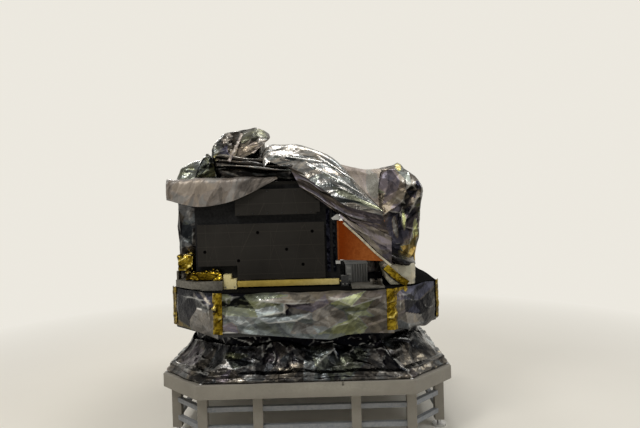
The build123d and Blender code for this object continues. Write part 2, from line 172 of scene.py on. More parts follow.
def make_world():
    world = bpy.data.worlds.new("studio")
    bpy.context.scene.world = world
    world.use_nodes = True
    tree = world.node_tree
    tree.nodes.clear()
    output = tree.nodes.new("ShaderNodeOutputWorld")
    mix = tree.nodes.new("ShaderNodeMixShader")
    tree.links.new(seen_ray(tree), mix.inputs[0])
    for socket, strength in ((1, SKY_LEVEL), (2, 1.0)):
        sky = tree.nodes.new("ShaderNodeBackground")
        sky.inputs["Color"].default_value = BACKGROUND
        sky.inputs["Strength"].default_value = strength
        tree.links.new(sky.outputs[0], mix.inputs[socket])
    tree.links.new(mix.outputs[0], output.inputs["Surface"])


# Materials

class Shader:
    """A Principled material with short calls for the nodes that feed it."""

    def __init__(self, name, **constants):
        self.material = bpy.data.materials.new(name)
        self.material.use_nodes = True
        self.tree = self.material.node_tree
        self.main = self.tree.nodes["Principled BSDF"]
        self.place = self.tree.nodes.new("ShaderNodeTexCoord").outputs["Object"]
        for key, value in constants.items():
            self.main.inputs[key.replace("_", " ").title().replace("Ior", "IOR")].default_value = value

    def node(self, kind, output=0, settings=None, **inputs):
        """The output of a new node; an input is given by its name, or as i and its number."""
        made = self.tree.nodes.new("ShaderNode" + kind)
        for key, value in (settings or {}).items():
            setattr(made, key, value)
        for key, value in inputs.items():
            socket = made.inputs[int(key[1:]) if key[1:].isdigit() else key.replace("_", " ").title()]
            self.feed(socket, value)
        return made.outputs[output]

    def feed(self, socket, value):
        if isinstance(value, bpy.types.NodeSocket):
            self.tree.links.new(value, socket)
        elif isinstance(value, tuple) and len(value) == 3 and len(socket.default_value) == 4:
            socket.default_value = (*value, 1)
        else:
            socket.default_value = value

    def math(self, operation, first, second=0.0):
        return self.node("Math", settings={"operation": operation}, i0=first, i1=second)

    def noise(self, scale, detail=3.0, rough=0.5):
        return self.node("TexNoise", vector=self.place, scale=scale, detail=detail, roughness=rough)

    def range(self, value, low, high):
        """A value from 0 to 1, taken from low to high."""
        return self.node("MapRange", value=value, i3=low, i4=high)

    def cell_edges(self, density, **mapping):
        """The distance to the edges of irregular cells, stretched or turned."""
        place = self.node("Mapping", vector=self.place, **mapping)
        settings = {"feature": "DISTANCE_TO_EDGE"}
        return self.node("TexVoronoi", settings=settings, vector=place, scale=density)

    def bands(self, scale):
        return self.node("TexWave", settings={"bands_direction": "Z"}, vector=self.place, scale=scale)

    def ramp(self, factor, *stops):
        made = self.tree.nodes.new("ShaderNodeValToRGB")
        self.feed(made.inputs[0], factor)
        marks = made.color_ramp.elements
        while len(marks) < len(stops):
            marks.new(0.5)
        for mark, (position, colour) in zip(marks, stops):
            mark.position = position
            mark.color = (*colour, 1) if isinstance(colour, tuple) else (colour, colour, colour, 1)
        return made.outputs[0]

    def mix(self, factor, first, second, blend="MIX"):
        made = self.tree.nodes.new("ShaderNodeMix")
        made.data_type = "RGBA"
        made.blend_type = blend
        self.feed(made.inputs[0], factor)
        self.feed(made.inputs[6], first)
        self.feed(made.inputs[7], second)
        return made.outputs[2]

    def film(self):
        """Tone, hue and ridge, stored on each film mesh."""
        stored = self.node("Attribute", settings={"attribute_name": "film"})
        split = self.tree.nodes.new("ShaderNodeSeparateColor")
        self.tree.links.new(stored, split.inputs[0])
        return split.outputs

    def bump(self, height, distance, strength=1.0, under=None):
        made = self.tree.nodes.new("ShaderNodeBump")
        made.inputs["Distance"].default_value = distance
        made.inputs["Strength"].default_value = strength
        self.feed(made.inputs["Height"], height)
        if under is not None:
            self.tree.links.new(under, made.inputs["Normal"])
        return made.outputs[0]

    def finish(self, colour, roughness, normal=None):
        for key, value in (("Base Color", colour), ("Roughness", roughness), ("Normal", normal)):
            if value is not None:
                self.feed(self.main.inputs[key], value)
        return self.material


HUES = (
    # place on the hue scale, tint
    (0.00, (1.00, 0.66, 0.10)),
    (0.12, (0.92, 1.00, 0.42)),
    (0.25, (0.90, 1.00, 0.66)),
    (0.42, (0.74, 0.88, 1.00)),
    (0.56, (1.00, 0.96, 0.95)),
    (0.72, (1.00, 0.86, 0.66)),
    (0.86, (0.97, 0.84, 1.00)),
    (1.00, (0.56, 0.60, 1.00)),
)
GOLD, LIME, SAGE, BLUE, PLAIN, BEIGE, PURPLE, NAVY = [place for place, tint in HUES]

FILMS = {
    # name: four tones from dark to bright; tint share, metallic, roughness low and high, strength of the
    # painted highlight on ridges
    "film_dark": (
        ((0.002, 0.002, 0.003), (0.022, 0.022, 0.023), (0.125, 0.123, 0.120), (0.60, 0.60, 0.58)),
        0.80, 1.0, 0.20, 0.36, 0.25,
    ),
    "film_band": (
        ((0.005, 0.005, 0.007), (0.100, 0.099, 0.097), (0.235, 0.232, 0.225), (0.70, 0.70, 0.68)),
        0.85, 1.0, 0.15, 0.30, 0.45,
    ),
    "film_silver": (
        ((0.018, 0.019, 0.019), (0.135, 0.134, 0.130), (0.36, 0.355, 0.345), (0.92, 0.92, 0.90)),
        0.60, 1.0, 0.17, 0.32, 0.50,
    ),
    "film_bronze": (
        ((0.004, 0.004, 0.004), (0.050, 0.047, 0.044), (0.165, 0.154, 0.140), (0.62, 0.60, 0.55)),
        0.85, 0.95, 0.20, 0.36, 0.28,
    ),
    "film_taupe": (
        ((0.060, 0.054, 0.050), (0.195, 0.174, 0.158), (0.31, 0.282, 0.258), (0.50, 0.465, 0.43)),
        0.45, 0.3, 0.36, 0.50, 0.25,
    ),
    "film_cream": (
        ((0.24, 0.218, 0.17), (0.48, 0.445, 0.34), (0.62, 0.585, 0.47), (0.82, 0.78, 0.66)),
        0.3, 0.1, 0.36, 0.50, 0.15,
    ),
    "film_gold": (
        ((0.014, 0.008, 0.001), (0.120, 0.078, 0.006), (0.33, 0.235, 0.022), (0.88, 0.74, 0.26)),
        0.0, 1.0, 0.14, 0.28, 0.35,
    ),
}
# Tones at which the four colours lie, and how much a fine grain changes a facet's tone and hue
TONE_STOPS = (0.06, 0.40, 0.74, 0.97)
TONE_GRAIN = 0.20
HUE_GRAIN = 0.10


def make_film(name):
    """Metallised film: a colour for each facet's tone and hue, painted highlights on ridges, painted shade
    in valleys and small wrinkles.
    """
    tones, share, metallic, smooth, rough, shine = FILMS[name]
    shader = Shader(name, metallic=metallic, specular_ior_level=0.25)

    def varied(value, grain, amount):
        around = shader.math("MULTIPLY", shader.math("SUBTRACT", grain, 0.5), amount)
        return shader.math("ADD", value, around)

    tone, hue, ridge = shader.film()[0:3]
    tone = varied(tone, shader.noise(11.0, 4.0, 0.6), TONE_GRAIN)
    colour = shader.ramp(tone, *zip(TONE_STOPS, tones))
    if share > 0:
        tint = shader.ramp(varied(hue, shader.noise(3.0, 2.0), HUE_GRAIN), *HUES)
        colour = shader.mix(share, colour, shader.mix(1.0, colour, tint, "MULTIPLY"))
    # Painted highlight: ridges take the brightest tone; painted shade: valleys take the darkest
    colour = shader.mix(shader.ramp(ridge, (0.62, 0.0), (0.95, shine)), colour, tones[3])
    colour = shader.mix(shader.ramp(ridge, (0.08, 0.7), (0.38, 0.0)), colour, tones[0])
    wrinkles = shader.ramp(shader.cell_edges(38.0, scale=(1.0, 1.0, 0.7)), (0.0, 0.0), (0.25, 1.0))
    normal = shader.bump(wrinkles, 0.0012, 0.45)
    normal = shader.bump(shader.noise(120.0, 3.0, 0.6), 0.0004, 0.5, normal)
    return shader.finish(colour, shader.range(shader.noise(14.0, 2.0), smooth, rough), normal)


def make_paint(name, light, dark, roughness, metallic, shine, wear):
    """Painted or treated metal: mottled colour, worn edges and a fine grain."""
    shader = Shader(name, metallic=metallic, specular_ior_level=shine)
    broad = shader.noise(6.0, 4.0, 0.6)
    colour = shader.ramp(broad, (0.3, dark), (0.7, light))
    fine = shader.noise(60.0, 3.0, 0.6)
    mottled = shader.mix(1.0, colour, shader.ramp(fine, (0.3, 0.6), (0.7, 1.25)), "MULTIPLY")
    colour = shader.mix(0.35, colour, mottled)
    pointiness = shader.node("NewGeometry", "Pointiness")
    worn = shader.math("MULTIPLY", shader.ramp(pointiness, (0.52, 0.0), (0.60, 1.0)), fine)
    colour = shader.mix(worn, colour, wear)
    rough = shader.range(fine, roughness - 0.08, roughness + 0.12)
    return shader.finish(colour, rough, shader.bump(fine, 0.0002))


def make_black_panel():
    """Matt black film stretched flat, with faint taped seams and slanting creases."""
    shader = Shader("black_panel", specular_ior_level=0.10)
    broad = shader.noise(3.0, 3.0, 0.6)
    colour = shader.ramp(broad, (0.3, (0.014, 0.0125, 0.011)), (0.7, (0.024, 0.022, 0.0195)))
    edges = shader.cell_edges(1.6, rotation=(0.0, 0.8, 0.0), scale=(5.0, 5.0, 1.2))
    crease = shader.ramp(edges, (0.0, 1.0), (0.012, 0.0))
    colour = shader.mix(shader.math("MULTIPLY", crease, 0.30), colour, (0.055, 0.050, 0.042))
    seam = shader.ramp(shader.bands(3.4), (0.992, 0.0), (0.998, 1.0))
    colour = shader.mix(shader.math("MULTIPLY", seam, 0.35), colour, (0.045, 0.040, 0.034))
    normal = shader.bump(crease, 0.0012, 0.6)
    normal = shader.bump(shader.noise(5.0), 0.006, 0.7, normal)
    return shader.finish(colour, shader.range(shader.noise(22.0, 2.0), 0.42, 0.6), normal)


def make_solar_cells():
    """Dark blue cells crossed by thin silver grid lines."""
    shader = Shader("solar_cells", metallic=0.2, coat_weight=0.8, coat_roughness=0.05)
    lines = shader.ramp(shader.bands(16.0), (0.965, 0.0), (0.985, 1.0))
    broad = shader.noise(9.0, 2.0)
    colour = shader.ramp(broad, (0.3, (0.006, 0.010, 0.045)), (0.7, (0.012, 0.022, 0.085)))
    colour = shader.mix(lines, colour, (0.5, 0.5, 0.52))
    return shader.finish(colour, shader.range(broad, 0.16, 0.28), shader.bump(lines, 0.0002))


# Distances from the middle between which the floor fades into the backdrop
FLOOR_FADE = (1.7, 5.0)


def make_floor_material():
    """A pale floor that takes the backdrop's colour far from the object."""
    shader = Shader("floor")
    broad = shader.noise(0.7, 3.0)
    colour = shader.ramp(broad, (0.3, (0.87, 0.84, 0.77)), (0.7, (0.90, 0.87, 0.80)))
    material = shader.finish(colour, shader.range(broad, 0.55, 0.65))
    tree = shader.tree
    glow = tree.nodes.new("ShaderNodeEmission")
    glow.inputs["Color"].default_value = BACKGROUND
    away = shader.node("VectorMath", 1, {"operation": "LENGTH"}, i0=shader.place)
    far = shader.node("MapRange", value=away, i1=FLOOR_FADE[0], i2=FLOOR_FADE[1])
    mix = tree.nodes.new("ShaderNodeMixShader")
    tree.links.new(shader.math("MULTIPLY", far, seen_ray(tree)), mix.inputs[0])
    tree.links.new(shader.main.outputs[0], mix.inputs[1])
    tree.links.new(glow.outputs[0], mix.inputs[2])
    tree.links.new(mix.outputs[0], tree.nodes["Material Output"].inputs["Surface"])
    return material


PAINTS = {
    # name: light, dark, roughness, metallic, shine, worn edge colour
    "stand_beige": ((0.375, 0.358, 0.308), (0.285, 0.272, 0.235), 0.5, 0.0, 0.14, (0.20, 0.18, 0.16)),
    "stand_frame_paint": ((0.20, 0.23, 0.27), (0.15, 0.17, 0.21), 0.45, 0.0, 0.14, (0.35, 0.35, 0.35)),
    "foot_steel": ((0.50, 0.50, 0.50), (0.36, 0.36, 0.37), 0.35, 0.9, 0.5, (0.7, 0.7, 0.7)),
    "bus_metal": ((0.42, 0.42, 0.40), (0.30, 0.30, 0.29), 0.38, 0.8, 0.5, (0.6, 0.6, 0.6)),
    # Near black: partly the deck's own black, partly painted shade, darkened so the strip of deck under the
    # rail stays as dark as its shade
    "deck_black": (
        (0.0018, 0.0016, 0.0015), (0.0010, 0.0009, 0.0009), 0.60, 0.0, 0.001, (0.012, 0.012, 0.012),
    ),
    "wall_black": ((0.006, 0.006, 0.008), (0.003, 0.003, 0.004), 0.50, 0.0, 0.03, (0.03, 0.03, 0.03)),
    "rail_yellow": ((0.60, 0.46, 0.11), (0.40, 0.29, 0.06), 0.32, 0.55, 0.3, (0.85, 0.75, 0.40)),
    "door_orange": ((0.195, 0.031, 0.001), (0.170, 0.027, 0.001), 0.42, 0.0, 0.05, (0.42, 0.15, 0.04)),
    "bracket_silver": ((0.22, 0.215, 0.205), (0.14, 0.138, 0.132), 0.34, 0.7, 0.3, (0.6, 0.6, 0.58)),
    "bracket_grey": ((0.040, 0.034, 0.026), (0.024, 0.020, 0.015), 0.42, 0.3, 0.08, (0.26, 0.25, 0.22)),
    "box_grey": ((0.185, 0.19, 0.19), (0.135, 0.138, 0.138), 0.45, 0.3, 0.14, (0.42, 0.42, 0.40)),
    "block_cream": ((0.86, 0.72, 0.29), (0.70, 0.58, 0.22), 0.38, 0.15, 0.2, (0.88, 0.80, 0.50)),
    "dark_metal": ((0.020, 0.022, 0.023), (0.013, 0.013, 0.014), 0.42, 0.3, 0.08, (0.08, 0.08, 0.08)),
}

NODE_FINISHES = {
    # finish: the nodes that have it, by the starts of their names
    "stand_beige": ["stand_plinth", "stand_posts"],
    "stand_frame_paint": ["stand_rails"],
    "foot_steel": ["stand_feet"],
    "bus_metal": ["adapter_ring", "bus_walls"],
    "deck_black": ["upper_deck"],
    "wall_black": ["bay_front_wall"],
    "black_panel": ["lower_bay", "bay_", "front_cover_panel", "rear_cover_panel", "front_wing_panel",
                    "rear_wing_panel", "front_wing_straps", "rear_wing_straps"],
    "solar_cells": ["front_wing_cells", "rear_wing_cells"],
    "rail_yellow": ["front_wing_rail", "rear_wing_rail"],
    "block_cream": ["front_hinge_block", "rear_hinge_block"],
    "dark_metal": ["lower_deck", "front_hinge_block_right", "rear_hinge_block_right", "door_latch_post"],
    "door_orange": ["cover_door"],
    "bracket_silver": ["door_brackets"],
    "bracket_grey": ["deck_bracket"],
    "box_grey": ["ribbed_electronics_box", "rear_electronics_box"],
}


def make_materials():
    made = {name: make_film(name) for name in FILMS}
    for name, values in PAINTS.items():
        made[name] = make_paint(name, *values)
    made["black_panel"] = make_black_panel()
    made["solar_cells"] = make_solar_cells()
    made["floor"] = make_floor_material()
    return made


def finish_nodes():
    """Each node takes the finish with the longest start that fits its name."""
    finishes = {start: finish for finish, starts in NODE_FINISHES.items() for start in starts}
    for name, node in nodes.items():
        fitting = [start for start in finishes if name.startswith(start)]
        if fitting:
            node.data.materials.clear()
            node.data.materials.append(materials[finishes[max(fitting, key=len)]])


# Creased film

CREASE_CELLS = 64


def wavy(u, v, phases):
    """The same places, moved in waves, so that no straight rows of facets show."""
    a, b, c, d = phases
    return (
        u + 0.30 * np.sin(1.9 * v + a) + 0.16 * np.sin(4.3 * u + 2.1 * v + b),
        v + 0.30 * np.sin(1.6 * u + c) + 0.16 * np.sin(3.7 * v - 2.6 * u + d),
    )


def creased(seed, cell, stretch, angle, x, y):
    """Flat triangular facets of random height: a level from -1 to 1, and two tones for each facet."""
    draw = np.random.default_rng(seed)
    cells = (CREASE_CELLS, CREASE_CELLS)
    heights = draw.uniform(-1, 1, cells)
    flips = draw.random(cells) < 0.5
    tones = draw.random((*cells, 2, 2))
    shift = draw.uniform(0, CREASE_CELLS, 2)
    phases = draw.uniform(0, TAU, 4)
    cos, sin = math.cos(math.radians(angle)), math.sin(math.radians(angle))
    u = (cos * x + sin * y) / (cell * stretch) + shift[0]
    v = (cos * y - sin * x) / cell + shift[1]
    u, v = wavy(u, v, phases)
    i, j = np.floor(u).astype(int), np.floor(v).astype(int)
    fu, fv = u - i, v - j
    i, j = i % CREASE_CELLS, j % CREASE_CELLS
    i2, j2 = (i + 1) % CREASE_CELLS, (j + 1) % CREASE_CELLS
    near, right, above, far = heights[i, j], heights[i2, j], heights[i, j2], heights[i2, j2]
    flip = flips[i, j]
    low_main = fu > fv
    low_other = fu + fv < 1
    main = np.where(
        low_main,
        near + fu * (right - near) + fv * (far - right),
        near + fv * (above - near) + fu * (far - above),
    )
    other = np.where(
        low_other,
        near + fu * (right - near) + fv * (above - near),
        far + (1 - fu) * (above - far) + (1 - fv) * (right - far),
    )
    side = np.where(flip, low_main, low_other).astype(int)
    shades = tones[i, j, side]
    return np.where(flip, main, other), shades[..., 0], shades[..., 1]


CRUMPLES = {
    # kind: rows of cell size, height, stretch, angle, share of the tone
    "smooth": (
        (0.130, 0.0100, 3.0, 7, 0.45), (0.058, 0.0050, 2.6, -20, 0.35), (0.026, 0.0016, 2.0, 35, 0.20),
    ),
    "creased": (
        (0.150, 0.0120, 1.8, 20, 0.45), (0.065, 0.0060, 1.6, -30, 0.35), (0.028, 0.0022, 1.4, 45, 0.20),
    ),
    "crushed": (
        (0.100, 0.0180, 1.6, 25, 0.40), (0.050, 0.0095, 1.5, -38, 0.35), (0.024, 0.0036, 1.3, 12, 0.25),
    ),
    "draped": (
        (0.062, 0.0120, 6.0, 0, 0.45), (0.034, 0.0055, 4.0, 8, 0.35), (0.019, 0.0018, 2.0, -25, 0.20),
    ),
    "taut": (
        (0.140, 0.0090, 2.2, 74, 0.50), (0.055, 0.0036, 2.0, 40, 0.35), (0.024, 0.0012, 1.6, 70, 0.15),
    ),
    "foil": (
        (0.042, 0.0100, 1.3, 25, 0.40), (0.023, 0.0050, 1.3, -38, 0.35), (0.012, 0.0018, 1.2, 12, 0.25),
    ),
    "tape": ((0.034, 0.0040, 1.3, 20, 0.50), (0.016, 0.0018, 1.2, -35, 0.50)),
}

# The random creases are strong in some places and calm in others, this far apart
CALM_SPANS = (0.16, 0.13)
CALM_LEVEL, STRONG_RISE = 0.35, 0.9
# Share of a facet's level that tilts it, share that sharpens its ridges, and how deep its middle lies
TILT_SHARE, RIDGE_SHARE, MIDDLE_DEPTH = 0.5, 0.8, 0.3
TONE_SPREAD, HUE_SPREAD = 1.9, 1.6

# Painted reflection: tilted facets are painted lighter where they face the lamps and darker where they face
# away, and take a warmer or cooler painted tint by their turn
PAINTED_LIGHT_SIDE = 0.75 * np.array((-0.35, -0.35, 0.87))
PAINTED_TINT_SIDE = 0.8 * np.array((0.90, 0.0, 0.40))
MIDDLE_TONE = 0.42
FACET_CONTRAST = 0.42
# Share of the random drift in hue that a facet with its own hue keeps
FACET_DRIFT = 0.45
# How much a patch takes over the hue, how far it reaches, and how ragged and soft its edge is
PATCH_SHARE = 0.85
PATCH_REACH, PATCH_RAGGED, PATCH_FADE = 1.1, 0.35, 0.2
# Relief that makes a full ridge or valley, and the steeper side of a pressed crease
RIDGE_RANGE = 0.0036
STEEP_SHARE = 0.3

FRONT, REAR, LEFT, RIGHT = (0, -1, 0), (0, 1, 0), (-1, 0, 0), (1, 0, 0)


def crumple(kind, seed, x, y, angle=0.0):
    """Height in metres, and a random tone and hue for each facet, at each point of a sheet."""
    height, tone, hue = np.zeros_like(x), np.zeros_like(x), np.zeros_like(x)
    draw = np.random.default_rng(seed)
    waves = [np.sin(at / span + draw.uniform(0, TAU)) for at, span in zip((x, y), CALM_SPANS)]
    strong = CALM_LEVEL + STRONG_RISE * (0.5 + 0.5 * waves[0] * waves[1])
    for index, (cell, amount, stretch, turn, share) in enumerate(CRUMPLES[kind]):
        level, first, second = creased(seed * 10 + index, cell, stretch, turn + angle, x, y)
        level = TILT_SHARE * level + RIDGE_SHARE * abs(level) - MIDDLE_DEPTH
        height += amount * (1.0 if index == 0 else strong) * level
        tone += share * first
        hue += share * second
    return height, TONE_SPREAD * (tone - 0.5), HUE_SPREAD * (hue - 0.5)


def shut(points, closed):
    """The grid, with its first column again at the end if the columns go all the way round."""
    return np.concatenate([points, points[:, :1]], axis=1) if closed else points


def distances(points, closed):
    """How far along its rows and columns each grid point lies, with even steps."""
    across = np.linalg.norm(np.diff(shut(points, closed), axis=1), axis=2).mean(axis=0)
    along = np.linalg.norm(np.diff(points, axis=0), axis=2).mean(axis=1)
    x = np.concatenate([[0], np.cumsum(across)])[:points.shape[1]]
    y = np.concatenate([[0], np.cumsum(along)])
    return np.meshgrid(x, y)


def normals(points, closed):
    """Outward directions: columns run round or to the right, and rows run up."""
    if closed:
        across = np.roll(points, -1, axis=1) - np.roll(points, 1, axis=1)
    else:
        across = np.gradient(points, axis=1)
    facing = np.cross(across, np.gradient(points, axis=0))
    return facing / np.maximum(np.linalg.norm(facing, axis=2, keepdims=True), 1e-9)


def smoothed(values, closed, passes=4):
    for _ in range(passes):
        rows = np.pad(values, ((1, 1), (0, 0)), "edge")
        values = (rows[:-2] + 2 * values + rows[2:]) / 4
        columns = np.pad(values, ((0, 0), (1, 1)), "wrap" if closed else "edge")
        values = (columns[:, :-2] + 2 * values + columns[:, 2:]) / 4
    return values


# For sides a quarter or an eighth of a turn apart: the cosine at which a surface has left a side,
# and the range over which it fades
QUARTER_TURN = (0.25, 0.20)
EIGHTH_TURN = (0.87, 0.10)
FLATTEST = 0.35


def side_share(facing, outward, turn=QUARTER_TURN):
    """1 where a surface faces outward, 0 where it has turned well away."""
    level = np.maximum(np.linalg.norm(facing[..., :2], axis=-1), FLATTEST)
    return np.clip((facing @ np.array(outward) / level - turn[0]) / turn[1], 0, 1)


def to_right(outward):
    """The level direction to the right, for someone who looks at a side from outside."""
    return np.array((-outward[1], outward[0], 0.0))


def marked(marks, place, outward):
    """Marks given by pixels, millimetres and hundredths, as they lie on a plane and in metres.

    A mark is its pixels across and down, relief, tone change and hue, and becomes its distance to
    the right, height above the floor, relief, tone change and hue.
    """
    placed = []
    for across, down, relief, tone, hue in marks:
        point = point_on(across, down, np.array(place), outward)
        placed.append((point @ to_right(outward), point[2], relief / 1000, tone / 100, hue))
    return placed


def front_facets(marks, y):
    """Facets from marks placed on the front, as they lie at one depth."""
    return [(FRONT, marked(marks, (0, y, 0), FRONT))]


# Most that a random mark moves within its cell, its most relief, spread of tone and range of hue
SCATTER_SHIFT = 0.42
SCATTER_RELIEF = 0.008
SCATTER_TONE = 0.11
SCATTER_HUES = (-0.26, 0.32)


def scattered(points, outward, seed, cell, tone):
    """Random marks over a side that the photograph doesn't show."""
    draw = np.random.default_rng(seed)
    across, up = points @ to_right(outward), points[..., 2]
    marks = []
    for x in np.arange(across.min() - cell[0], across.max() + 1.5 * cell[0], cell[0]):
        for z in np.arange(up.min() - cell[1], up.max() + 1.5 * cell[1], cell[1]):
            shift = [draw.uniform(-SCATTER_SHIFT, SCATTER_SHIFT) for _ in cell]
            relief = draw.uniform(-SCATTER_RELIEF, SCATTER_RELIEF)
            hue = PLAIN + draw.uniform(*SCATTER_HUES)
            change = tone + draw.normal(0, SCATTER_TONE)
            marks.append((x + shift[0] * cell[0], z + shift[1] * cell[1], relief, change, hue))
    return marks


def scattered_sides(points, seed, cell, directions, tone=0.0):
    """Facets from random marks for each of several outward directions."""
    sides = enumerate(directions)
    return [(outward, scattered(points, outward, seed + index, cell, tone)) for index, outward in sides]


def faceted(points, outward, marks, stretch):
    """Relief, tone and hue of the flat facets between marks, and where they lie."""
    marks = np.array(marks)
    flat = [Vector((mark[0] / stretch, mark[1])) for mark in marks]
    triangles = delaunay_2d_cdt(flat, [], [], 0, 1e-5)[2]
    across, up = points @ to_right(outward), points[..., 2]
    relief, tone, hue, inside = (np.zeros_like(up) for _ in range(4))
    for corners in triangles:
        (x0, z0), (x1, z1), (x2, z2) = marks[list(corners), :2]
        area = (x1 - x0) * (z2 - z0) - (x2 - x0) * (z1 - z0)
        second = ((across - x0) * (z2 - z0) - (x2 - x0) * (up - z0)) / area
        third = ((x1 - x0) * (up - z0) - (across - x0) * (z1 - z0)) / area
        weights = np.stack([1 - second - third, second, third])
        within = weights.min(axis=0) >= 0
        heights, tones, hues = marks[list(corners), 2:].T
        relief[within] = np.tensordot(heights, weights, 1)[within]
        tone[within], hue[within], inside[within] = np.median(tones), np.median(hues), 1
    return relief, tone, hue, inside


def pressed(points, facing, folds):
    """Straight creases on the front of a sheet: x, z, x, z, height, and width of the gentler side.

    The gentler side is below a crease that runs to the right, and to the left of one that runs down.
    """
    relief = np.zeros(points.shape[:2])
    for x0, z0, x1, z1, height, width in folds:
        run_x, run_z = x1 - x0, z1 - z0
        away_x, away_z = points[..., 0] - x0, points[..., 2] - z0
        share = np.clip((away_x * run_x + away_z * run_z) / (run_x ** 2 + run_z ** 2), 0, 1)
        away = np.hypot(away_x - share * run_x, away_z - share * run_z)
        gentle = away_x * run_z - away_z * run_x > 0
        ends = np.clip(6 * np.minimum(share, 1 - share) + 0.1, 0, 1)
        relief += height * ends * np.clip(1 - away / np.where(gentle, width, STEEP_SHARE * width), 0, 1)
    return relief * side_share(facing, FRONT)


def patched(points, facing, ragged, patches, tones, hues):
    """Tones and hues with patches of another look on the front: the film's own colours, and some painted
    highlights and shade.

    A patch is x, z, half sizes, turn in degrees, tone change and hue.
    """
    front = side_share(facing, FRONT)
    for mid_x, mid_z, half_x, half_z, slant, change, place in patches:
        cos, sin = math.cos(math.radians(slant)), math.sin(math.radians(slant))
        away_x, away_z = points[..., 0] - mid_x, points[..., 2] - mid_z
        away = np.hypot((cos * away_x + sin * away_z) / half_x, (cos * away_z - sin * away_x) / half_z)
        inside = front * np.clip((PATCH_REACH - away + PATCH_RAGGED * ragged) / PATCH_FADE, 0, 1)
        tones = tones + inside * change
        hues = hues * (1 - PATCH_SHARE * inside) + PATCH_SHARE * inside * place
    return tones, hues


def grid_object(name, points, finish, closed, stored):
    """A smooth quad mesh through points[row, column], with its tones, hues and ridges."""
    rows, columns = points.shape[:2]
    index = np.arange(rows * columns).reshape(rows, columns)
    if closed:
        index = np.hstack([index, index[:, :1]])
    quads = [index[:-1, :-1], index[:-1, 1:], index[1:, 1:], index[1:, :-1]]
    quads = np.stack(quads, axis=-1).reshape(-1, 4)
    mesh = bpy.data.meshes.new(name)
    mesh.vertices.add(rows * columns)
    mesh.vertices.foreach_set("co", points.reshape(-1).astype(np.float32))
    mesh.loops.add(len(quads) * 4)
    mesh.loops.foreach_set("vertex_index", quads.reshape(-1).astype(np.int32))
    mesh.polygons.add(len(quads))
    mesh.polygons.foreach_set("loop_start", np.arange(0, len(quads) * 4, 4, dtype=np.int32))
    mesh.polygons.foreach_set("use_smooth", np.ones(len(quads), bool))
    colours = np.stack([*stored, np.ones(stored[0].shape)], axis=-1).astype(np.float32)
    mesh.attributes.new("film", "FLOAT_COLOR", "POINT").data.foreach_set("color", colours.reshape(-1))
    mesh.update(calc_edges=True)
    mesh.validate()
    return put_mesh(mesh, finish)


def add_film(name, points, finish, kind, seed, *, closed=False, amount=1.0, angle=0.0, hold=1.0,
             contrast=1.0, tone=0.0, hue=PLAIN, hue_range=0.35, folds=(), patches=(), facets=(), bend=1.0,
             stretch=1.0, turn=QUARTER_TURN, replaces=()):
    """One crumpled film piece over the base surface points[row, column].

    The random creases are of one kind, turned by an angle; amount scales them, and hold scales every
    relief. Facets are pairs of an outward direction and the marks on that side; bend scales their relief
    and tones, and stretch makes them long from side to side.
    """
    x, y = distances(points, closed)
    facing = normals(points, closed)
    height, facet_tone, facet_hue = crumple(kind, seed, x, y, angle)
    relief = hold * amount * height + pressed(points, facing, folds)
    shade, tint, flat = np.zeros_like(x), np.zeros_like(x), np.zeros_like(x)
    for outward, marks in facets:
        rise, side_tone, side_hue, inside = faceted(points, outward, marks, stretch)
        share = side_share(facing, outward, turn)
        relief += bend * hold * share * rise
        shade += bend * share * side_tone
        stronger = share * inside > flat
        tint, flat = np.where(stronger, side_hue, tint), np.where(stronger, share * inside, flat)
    moved = points + relief[..., None] * facing
    tilt = normals(moved, closed) - facing
    # Painted reflection: tone from each facet's tilt towards the lamps, on top of its random tone and its
    # marked tone change
    tones = MIDDLE_TONE + tone + shade + contrast * (FACET_CONTRAST * facet_tone + tilt @ PAINTED_LIGHT_SIDE)
    drift = hue_range * (facet_hue + tilt @ PAINTED_TINT_SIDE)
    hues = (1 - flat) * (hue + drift) + flat * (tint + FACET_DRIFT * drift)
    tones, hues = patched(points, facing, facet_tone, patches, tones, hues)
    # How far each point stands above or below its surroundings; the material paints highlights on ridges and
    # shade in valleys from it
    ridges = 0.5 + (relief - smoothed(relief, closed)) / RIDGE_RANGE
    stored = [np.clip(values, 0, 1) for values in (tones, hues, ridges)]
    piece = grid_object(name, moved, finish, closed, stored)
    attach(piece, "root")
    if replaces:
        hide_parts(*replaces)


# Base surfaces

def round_marks(corners):
    """A closed outline with its first corner again at the end, and how far round each lies."""
    ring = np.vstack([corners, corners[:1]])
    return ring, np.concatenate([[0], np.cumsum(np.linalg.norm(np.diff(ring, axis=0), axis=1))])


def points_round(corners, at):
    """Points at given distances round a closed outline."""
    ring, marks = round_marks(corners)
    return np.stack([np.interp(at % marks[-1], marks, ring[:, k]) for k in (0, 1)], axis=1)


def loop(corners, count, rounding):
    """Points round a closed outline with rounded corners."""
    corners = np.array(corners, float)
    around = round_marks(corners)[1][-1]
    points = points_round(corners, np.linspace(0, around, count, endpoint=False))
    half = int(rounding / (around / count))
    for _ in range(2):
        points = sum(np.roll(points, shift, axis=0) for shift in range(-half, half + 1)) / (2 * half + 1)
    return points


def blend_rows(values, count, smooth=False):
    """count rows from a few, straight between them or as one smooth curve."""
    values = np.array(values, float)
    at = np.linspace(0, len(values) - 1, count)
    low = np.clip(np.floor(at).astype(int), 0, len(values) - 2)
    share = (at - low).reshape((-1,) + (1,) * (values.ndim - 1))
    here, there = values[low], values[low + 1]
    if not smooth:
        return here * (1 - share) + there * share
    before = values[np.maximum(low - 1, 0)]
    after = values[np.minimum(low + 2, len(values) - 1)]
    return 0.5 * (
        2 * here
        + (there - before) * share
        + (2 * before - 5 * here + 4 * there - after) * share ** 2
        + (3 * here - before - 3 * there + after) * share ** 3
    )


